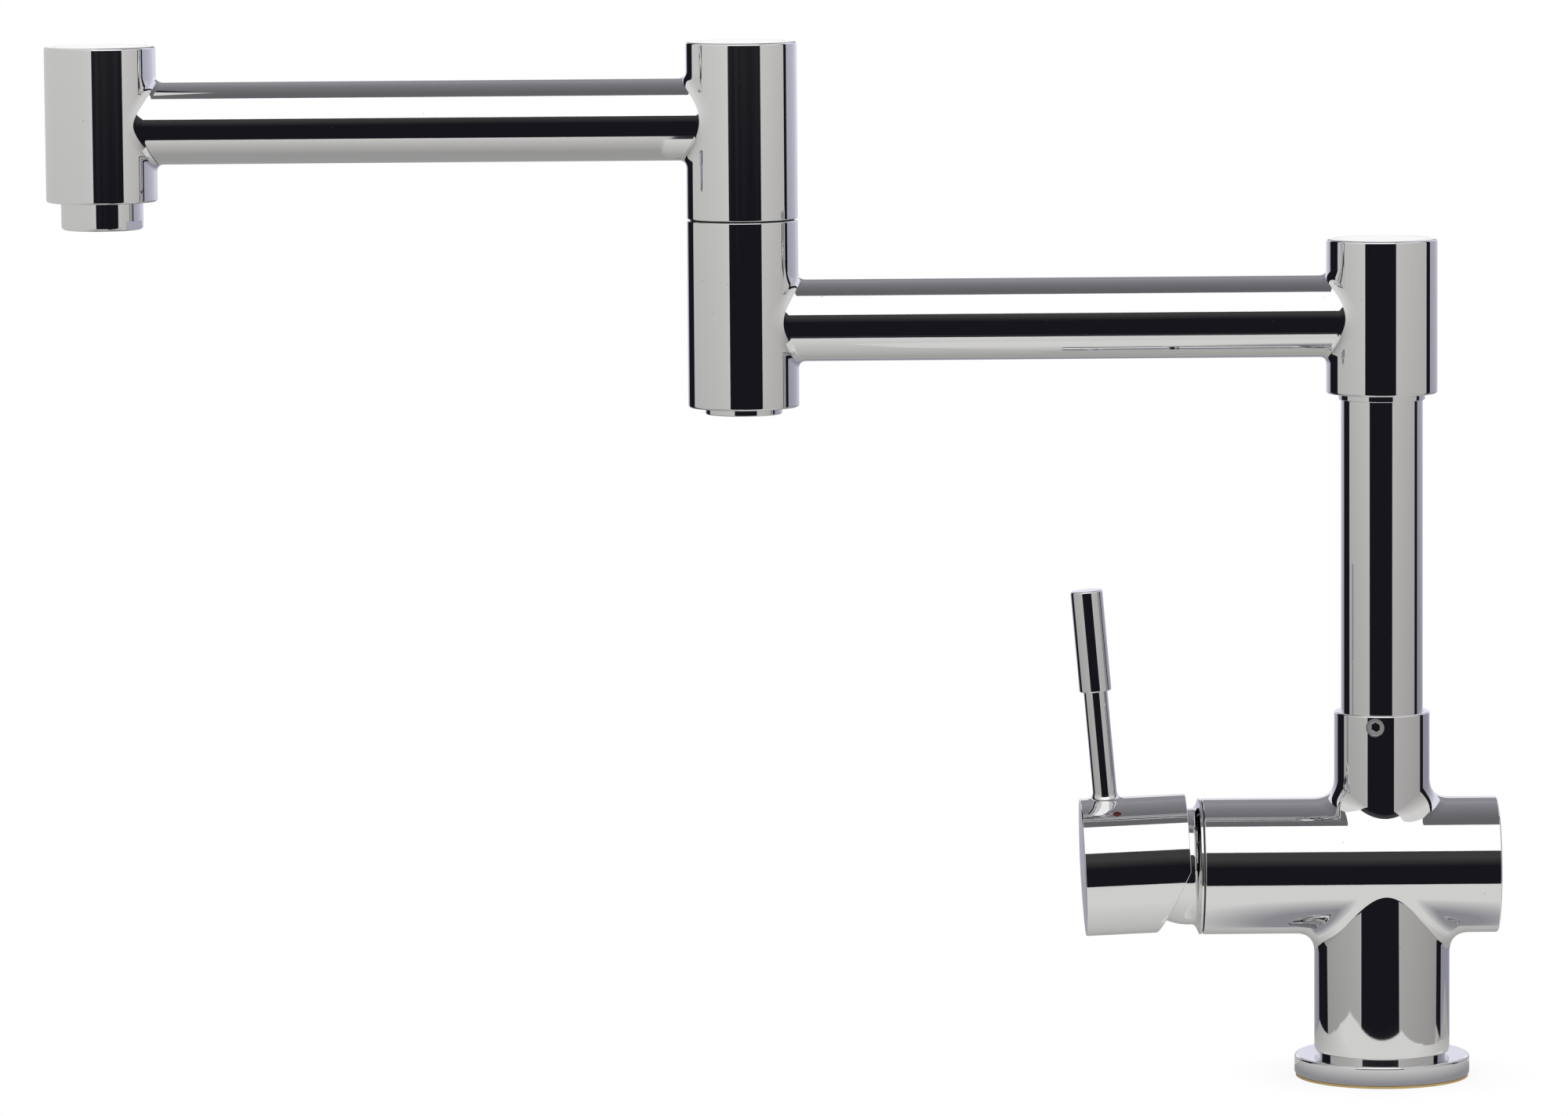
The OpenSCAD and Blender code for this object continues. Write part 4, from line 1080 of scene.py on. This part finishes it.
@dataclass
class Control:
    """Bonnet on the barrel's mouth, and the lever: cut cap, temperature marks, rod and grip."""

    foot: Foot
    ring_r: float = 22.6
    ring_bore: float = 15.93
    ring_w: float = 0.4
    rim_w: float = 0.9
    pivot: float = 66.8
    flare_w: float = 2.42
    flare_power: float = 1.2
    flare_foot: float = 0.6
    ball_r: float = 20.0
    ball_inner: float = 18.5
    ball_hole: float = 12.8
    lip_top: float = 64.65
    cap_r: float = 23.65
    cap_l: float = 36.2
    crown: float = 0.7
    crown_round: float = 0.45
    cap_wall: float = 3.0
    cap_depth: float = 20.4
    cap_lean: float = 2.4
    cap_rise: float = 1.45
    cut: float = 27.0
    rod_at: float = 26.3
    rod_r: float = 4.1
    rod_l: float = 37.4
    rod_lean: float = 2.6
    rod_blend: Spot = (0.68, 0.6)
    rod_panel: Spot = (24.0, 9.6)
    stub: float = 4.1
    grip_r: float = 5.5
    grip_l: float = 35.0
    mark_at: float = 24.06
    mark_r: float = 1.37
    mark_angle: float = 33.0
    mark_h: float = 1.5
    mark_front: float = 0.9
    mark_panel: Spot = (6.0, 2.6)
    screw_at: float = 22.9
    screw_r: float = 2.03
    screw_h: float = 9.0
    screw_panel: Spot = (8.0, 3.2)
    rim_round: float = 0.25
    wall_start: float = 13.5

    @property
    def cap_place(self) -> Place:
        """Frame of the cap at rest: Z from the pivot along it, X up."""
        upright = self.foot.barrel.moved(z=self.pivot)
        return upright.leaning(-math.radians(self.cap_lean)).moved(x=self.cap_rise)

    @property
    def rod(self) -> Outlet:
        """The rod as a branch of the cap."""
        reach, spread = (share * self.rod_r for share in self.rod_blend)
        return Outlet(0.0, self.rod_at, self.rod_r, reach, spread, *self.rod_panel,
                      lean=math.radians(self.rod_lean))

    def mark(self, side: int) -> Outlet:
        """Bore of a temperature mark: side -1 is the hot one's, 1 the cold one's."""
        at = side * math.radians(self.mark_angle)
        return Outlet(at, self.mark_at, self.mark_r + 0.03, -0.05, 0.05, *self.mark_panel)

    def bonnet(self) -> Skin:
        """Rim, flare and ball: the flare's radius falls as (1 - t)^2 while its height grows as t^power."""
        skin = Skin("bonnet")
        place = self.foot.barrel
        low = self.foot.barrel_left + self.ring_w
        rim, r = low + self.rim_w, self.foot.barrel_r
        bore, deep, ease = self.ring_bore, self.pivot - self.lip_top, self.rim_round
        neck, centre = r - self.flare_foot, np.array([0.0, self.pivot])
        outer, inner, hole = self.ball_r, self.ball_inner, self.ball_hole
        skin.chain(place, [
            (math.sqrt(inner ** 2 - deep ** 2), self.lip_top), (bore, self.lip_top), (bore, low),
            (r, low, ease), (r, rim, ease), (neck, rim)])
        t = np.linspace(0, 1, 17)
        radii, heights = r - (r - outer) * (1 - (1 - t) ** 2), rim + self.flare_w * t ** self.flare_power
        flare = np.stack([radii, heights], -1)
        flare = np.vstack([[neck, rim], flare[flare[:, 0] < neck]])
        start = math.acos((flare[-1, 1] - self.pivot) / outer)
        ball = bow(np.linspace(start, math.asin(hole / outer), 30))
        flare[-1] = ball[0] * outer + centre
        step = np.gradient(flare, axis=0)
        slope = unit(np.stack([step[:, 1], -step[:, 0]], -1))
        slope[0] = (0.0, 1.0)
        skin.swept(place, flare, np.abs(slope), around())
        skin.swept(place, ball * outer + centre, ball, around())
        skin.chain(place, [(hole, self.pivot + math.sqrt(size ** 2 - hole ** 2)) for size in (outer, inner)])
        ball = bow(np.linspace(math.asin(hole / inner), math.pi / 2 + math.asin(deep / inner), 24))
        skin.swept(place, ball * inner + centre, -ball, around())
        return skin

    def cut_height(self, radius: float, angles: np.ndarray) -> np.ndarray:
        """Where the cut cap starts: 0 above its axis, under it the depth below the axis times the slope."""
        return np.maximum(-radius * np.cos(angles), 0.0) * math.tan(math.radians(self.cut))

    def cap(self) -> Skin:
        """Cap wall from the slanted cut to the crowned end, its hollow, and the rod's stub with its blend."""
        skin = Skin("cap")
        place, r, angles = self.cap_place, self.cap_r, around()
        ray = rays(angles)
        slant = np.array([-math.sin(math.radians(self.cut)), 0.0, -math.cos(math.radians(self.cut))])
        facing = np.where(np.cos(angles)[:, None] < -1e-9, slant, -UP)
        ease, bore = self.rim_round, r - self.cap_wall

        def circle(radius: float, height: np.ndarray | float) -> np.ndarray:
            """Points of this radius at these heights."""
            return ray * radius + np.broadcast_to(height, angles.shape)[:, None] * UP

        rim_in, rim_out = self.cut_height(bore, angles), self.cut_height(r - ease, angles)
        skin.patch(place, np.stack([circle(bore, rim_in), circle(r - ease, rim_out)]), facing)
        edge, wall = circle(r - ease, rim_out), circle(r, self.cut_height(r, angles) + ease)
        corner = circle(r, self.cut_height(r, angles))
        t = np.linspace(0, 1, 5)[:, None, None]
        bend = (1 - t) ** 2 * edge + 2 * t * (1 - t) * corner + t * t * wall
        skin.patch(place, bend, (1 - t) * facing + t * ray)
        skin.patch(place, np.stack([wall, circle(r, self.wall_start)]), ray)
        crown, slopes = self.crown_turn()
        screw = Outlet(math.pi, self.screw_at, self.screw_r, -0.1, 0.1, *self.screw_panel)
        outlets = [self.rod, self.mark(-1), self.mark(1), screw]
        turns = skin.wall(place, r, np.linspace(self.wall_start, crown[0, 1], 29), outlets)
        for outlet, turn, out in zip(outlets, turns, (self.stub, -self.mark_h, -self.mark_h, -self.screw_h)):
            skin.reach(place, r, outlet, turn, r + out, shut=True)
        skin.swept(place, crown, slopes, angles)
        skin.patch(place, np.stack([circle(bore, rim_in), circle(bore, self.cap_depth)]), -ray)
        skin.chain(place, [(0.0, self.cap_depth), (bore, self.cap_depth)])
        return skin

    def crown_turn(self) -> tuple[np.ndarray, np.ndarray]:
        """Half section of the crowned end: a small round, then a sphere through the middle.

        Returns:
            The points, from the end of the straight wall, and the normals.
        """
        r, ease = self.cap_r, self.crown_round
        sphere = (r * r + self.crown ** 2) / (2 * self.crown)
        middle = self.cap_l + self.crown - sphere
        tilt = math.asin((r - ease) / (sphere - ease))
        centre = np.array([r - ease, middle + (sphere - ease) * math.cos(tilt)])
        bend, dome = bow(np.linspace(math.pi / 2, tilt, 8)), bow(np.linspace(tilt, 0, 10)[1:])
        return np.vstack([centre + ease * bend, dome * sphere + (0.0, middle)]), np.vstack([bend, dome])

    def build(self, shop: Workshop) -> None:
        """Makes the bonnet and the lever's pieces.

        Args:
            shop: the workshop.
        """
        left = self.foot.barrel_left
        shop.turned("bonnet_seam", self.foot.barrel,
                    ring_loop(self.ring_r, self.ring_bore, left, left + self.ring_w),
                    Body.BASE, Slot.METAL, "bonnet_ring", dark=True)
        shop.fit(self.bonnet(), Body.BASE, Slot.METAL, "bonnet")
        shop.fit(self.cap(), Body.LEVER, Slot.METAL, "lever_cap")
        for side, name, slot in ((-1, "hot_mark", Slot.HOT), (1, "cold_mark", Slot.COLD)):
            dot = disc_chain(self.mark_r, self.cap_r - self.mark_h, self.cap_r - self.mark_front, 0.0, 0.25)
            shop.turned(f"{name}_dot", self.mark(side).frame(self.cap_place), dot, Body.LEVER, slot, name)
        along = self.rod.frame(self.cap_place)
        low, high = self.cap_r + self.stub, self.cap_r + self.rod_l
        for name, radius, start, end, low_round, high_round in (
            ("rod", self.rod_r, low, high, 0.0, 0.0),
            ("grip", self.grip_r, high, high + self.grip_l, 0.6, 0.7),
        ):
            shop.turned(name, along, disc_chain(radius, start, end, low_round, high_round), Body.LEVER,
                        Slot.METAL, f"lever_{name}")


@dataclass
class Spout:
    """Riser and the two arms with their hubs, lids, elbow joint and outlet."""

    tube_r: float = 14.0
    tube_bore: float = 12.5
    riser_low: float = 125.6
    riser_high: float = 246.0
    riser_ring_r: float = 14.8
    riser_ring_h: float = 2.2
    hub_r: float = 19.0
    hub_bore: float = 16.0
    elbow_bore: float = 15.0
    hub_low: float = 236.5
    hub_high: float = 289.5
    hub_round: float = 0.8
    lower_z: float = 263.0
    upper_z: float = 332.0
    arm_l: float = 218.5
    elbow_low: float = 233.5
    seam_low: float = 297.55
    seam_high: float = 298.05
    seam_r: float = 17.8
    spout_top: float = 358.5
    outlet_low: float = 305.5
    lid_h: float = 3.0
    blend_arm: float = 2.4
    blend_hub: float = 2.8
    thread_r: float = 12.03
    outlet_floor: float = 311.5
    aerator_low: float = 296.0
    aerator_bore: float = 10.4
    aerator_lip: float = 9.2
    aerator_lip_h: float = 1.4
    aerator_round: float = 1.4
    flat_depth: float = 0.76
    flat_top: float = 299.23
    flat_turn: float = 31.0
    nut_r: float = 13.15
    nut_low: float = 231.1
    nut_high: float = 233.2
    spindle_r: float = 12.0
    panel: Spot = (75.0, 24.5)
    gap: float = 0.04
    clearance: float = 0.03

    def arm(self, name: str, z: float, x: float, *sections: Corners) -> Skin:
        """Two hubs and the tube between them, which runs to -X from the first.

        Args:
            name: name of the piece.
            z: height of the tube's axis.
            x: place of the first hub.
            sections: each hub's chain of corners, from the upper to the lower end of its straight wall.

        Returns:
            The skin.
        """
        skin = Skin(name)
        first, last = (
            Outlet(at, z, self.tube_r, self.blend_arm, self.blend_hub, *self.panel) for at in (math.pi, 0.0))
        near, far = Place.upright(x), Place.upright(x - self.arm_l)
        half, turns = self.panel[1], []
        for place, section, arm in zip((near, far), sections, (first, last)):
            rows = np.concatenate([[section[-1][1]], z + np.linspace(-half, half, 50), [section[0][1]]])
            turns += skin.wall(place, self.hub_r, rows, [arm])
            skin.chain(place, section)
        turn = turns[0]
        start = near.out(first.edges(turn, self.hub_r)[0])
        end = far.out(last.edges(TURN - turn, self.hub_r)[0])
        skin.patch(Place.upright(), np.stack([start, end]), first.ray(turn))
        return skin

    def aerator(self) -> Skin:
        """Aerator housing, whose four flats hold its radius to flat / cos(angle to the flat)."""
        skin = Skin("aerator")
        place = Place.upright(-2 * self.arm_l)
        r, low, top, step = self.tube_r, self.aerator_low, self.outlet_low, self.flat_top
        angles, thread = around(4 * AROUND), self.thread_r - self.clearance
        skin.chain(place, [
            (r, step), (r, top, 0.2), (thread, top), (thread, self.outlet_floor),
            (self.aerator_bore, self.outlet_floor), (self.aerator_bore, low + self.aerator_lip_h),
            (self.aerator_lip, low + self.aerator_lip_h), (self.aerator_lip, low)], angles)
        ray = rays(angles)
        aside = np.mod(angles + math.radians(self.flat_turn) + math.pi / 4, math.pi / 2) - math.pi / 4
        flat = (r - self.flat_depth) / np.cos(aside)
        soft = self.aerator_round
        sweep = np.linspace(-math.pi / 2, 0, 8)
        radii = np.concatenate([[self.aerator_lip], r - soft + soft * np.cos(sweep), [r]])
        heights = np.concatenate([[low], low + soft + soft * np.sin(sweep), [step]])
        slopes = np.concatenate([[-math.pi / 2], sweep, [0.0]])
        cut = radii[:, None] > flat[None, :]
        reach = np.where(cut, flat[None, :], radii[:, None])
        points = reach[..., None] * ray + heights[:, None, None] * UP
        round_about = np.cos(slopes)[:, None, None] * ray + np.sin(slopes)[:, None, None] * UP
        skin.patch(place, points, np.where(cut[..., None], rays(angles - aside), round_about))
        skin.patch(place, np.stack([r * ray, np.minimum(flat, r)[:, None] * ray]) + step * UP, -UP)
        return skin

    def build(self, shop: Workshop) -> None:
        """Makes the riser, the arms and what closes their hubs.

        Args:
            shop: the workshop.
        """
        r, hub, floor = self.hub_r, self.hub_bore, self.outlet_floor
        soft, fine = self.hub_round, self.hub_round / 2
        column, elbow, outlet = (Place.upright(-share * self.arm_l) for share in (0, 1, 2))

        def turned(
            name: str, place: Place, corners: Corners, body: Body, node: str, dark: bool = False,
        ) -> None:
            """A turned piece of metal."""
            shop.turned(name, place, corners, body, Slot.METAL, node, dark)

        def section(bore: float, low: float, high: float, low_round: float, high_round: float) -> Corners:
            """A hub's chain: over its top, down its bore and back under it."""
            return [(r, high - high_round), (r, high, high_round), (bore, high), (bore, low),
                    (r, low, low_round), (r, low + low_round)]

        turned("riser", column, ring_loop(self.tube_r, self.tube_bore, self.riser_low, self.riser_high),
               Body.INNER, "riser_tube")
        low, bore = self.hub_low - self.riser_ring_h, self.tube_r + self.clearance
        turned("riser_seam", column, ring_loop(self.riser_ring_r, bore, low, self.hub_low, 0.3, 0.1),
               Body.INNER, "riser_ring")
        lower = self.arm("arm_lower", self.lower_z, 0.0,
                         section(hub, self.hub_low, self.hub_high, soft, soft),
                         section(self.elbow_bore, self.elbow_low, self.seam_low, soft, fine))
        shop.fit(lower, Body.INNER, Slot.METAL, "lower_arm")
        end = section(hub, self.outlet_low, self.spout_top, soft, soft)
        end[3:4] = [(hub, floor), (self.thread_r, floor), (self.thread_r, self.outlet_low)]
        upper = self.arm("arm_upper", self.upper_z, -self.arm_l,
                         section(self.elbow_bore, self.seam_high, self.spout_top, fine, soft), end)
        shop.fit(upper, Body.OUTER, Slot.METAL, "upper_arm")
        for name, place, radius, top, body in (
            ("column", column, hub, self.hub_high, Body.INNER),
            ("elbow", elbow, self.elbow_bore, self.spout_top, Body.OUTER),
            ("outlet", outlet, hub, self.spout_top, Body.OUTER),
        ):
            lid = disc_chain(radius - self.gap, top - self.lid_h, top, 0.1, 0.25)
            turned(f"lid_{name}", place, lid, body, f"{name}_lid")
        turned("elbow_seam", elbow,
               ring_loop(self.seam_r, self.spindle_r + 0.1, self.seam_low, self.seam_high - 0.05),
               Body.INNER, "elbow_washer", dark=True)
        turned("nut", elbow, disc_chain(self.nut_r, self.nut_low, self.nut_high, 0.4, 0.2), Body.OUTER,
               "elbow_nut")
        shop.fit(self.aerator(), Body.OUTER, Slot.METAL, "aerator_housing")


def main() -> None:
    """Loads the frame and builds the mixer's looks and its studio."""
    logging.basicConfig(level=logging.INFO, format="%(name)s: %(message)s")
    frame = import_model()
    bpy.context.scene.view_settings.view_transform = "Standard"
    Studio().build()
    shop = Workshop(frame)
    shop.dress_frame()
    foot = Foot()
    for part in (foot, Control(foot), Spout()):
        part.build(shop)
        LOG.info("%s built", type(part).__name__)
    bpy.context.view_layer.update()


if __name__ == "__main__":
    main()
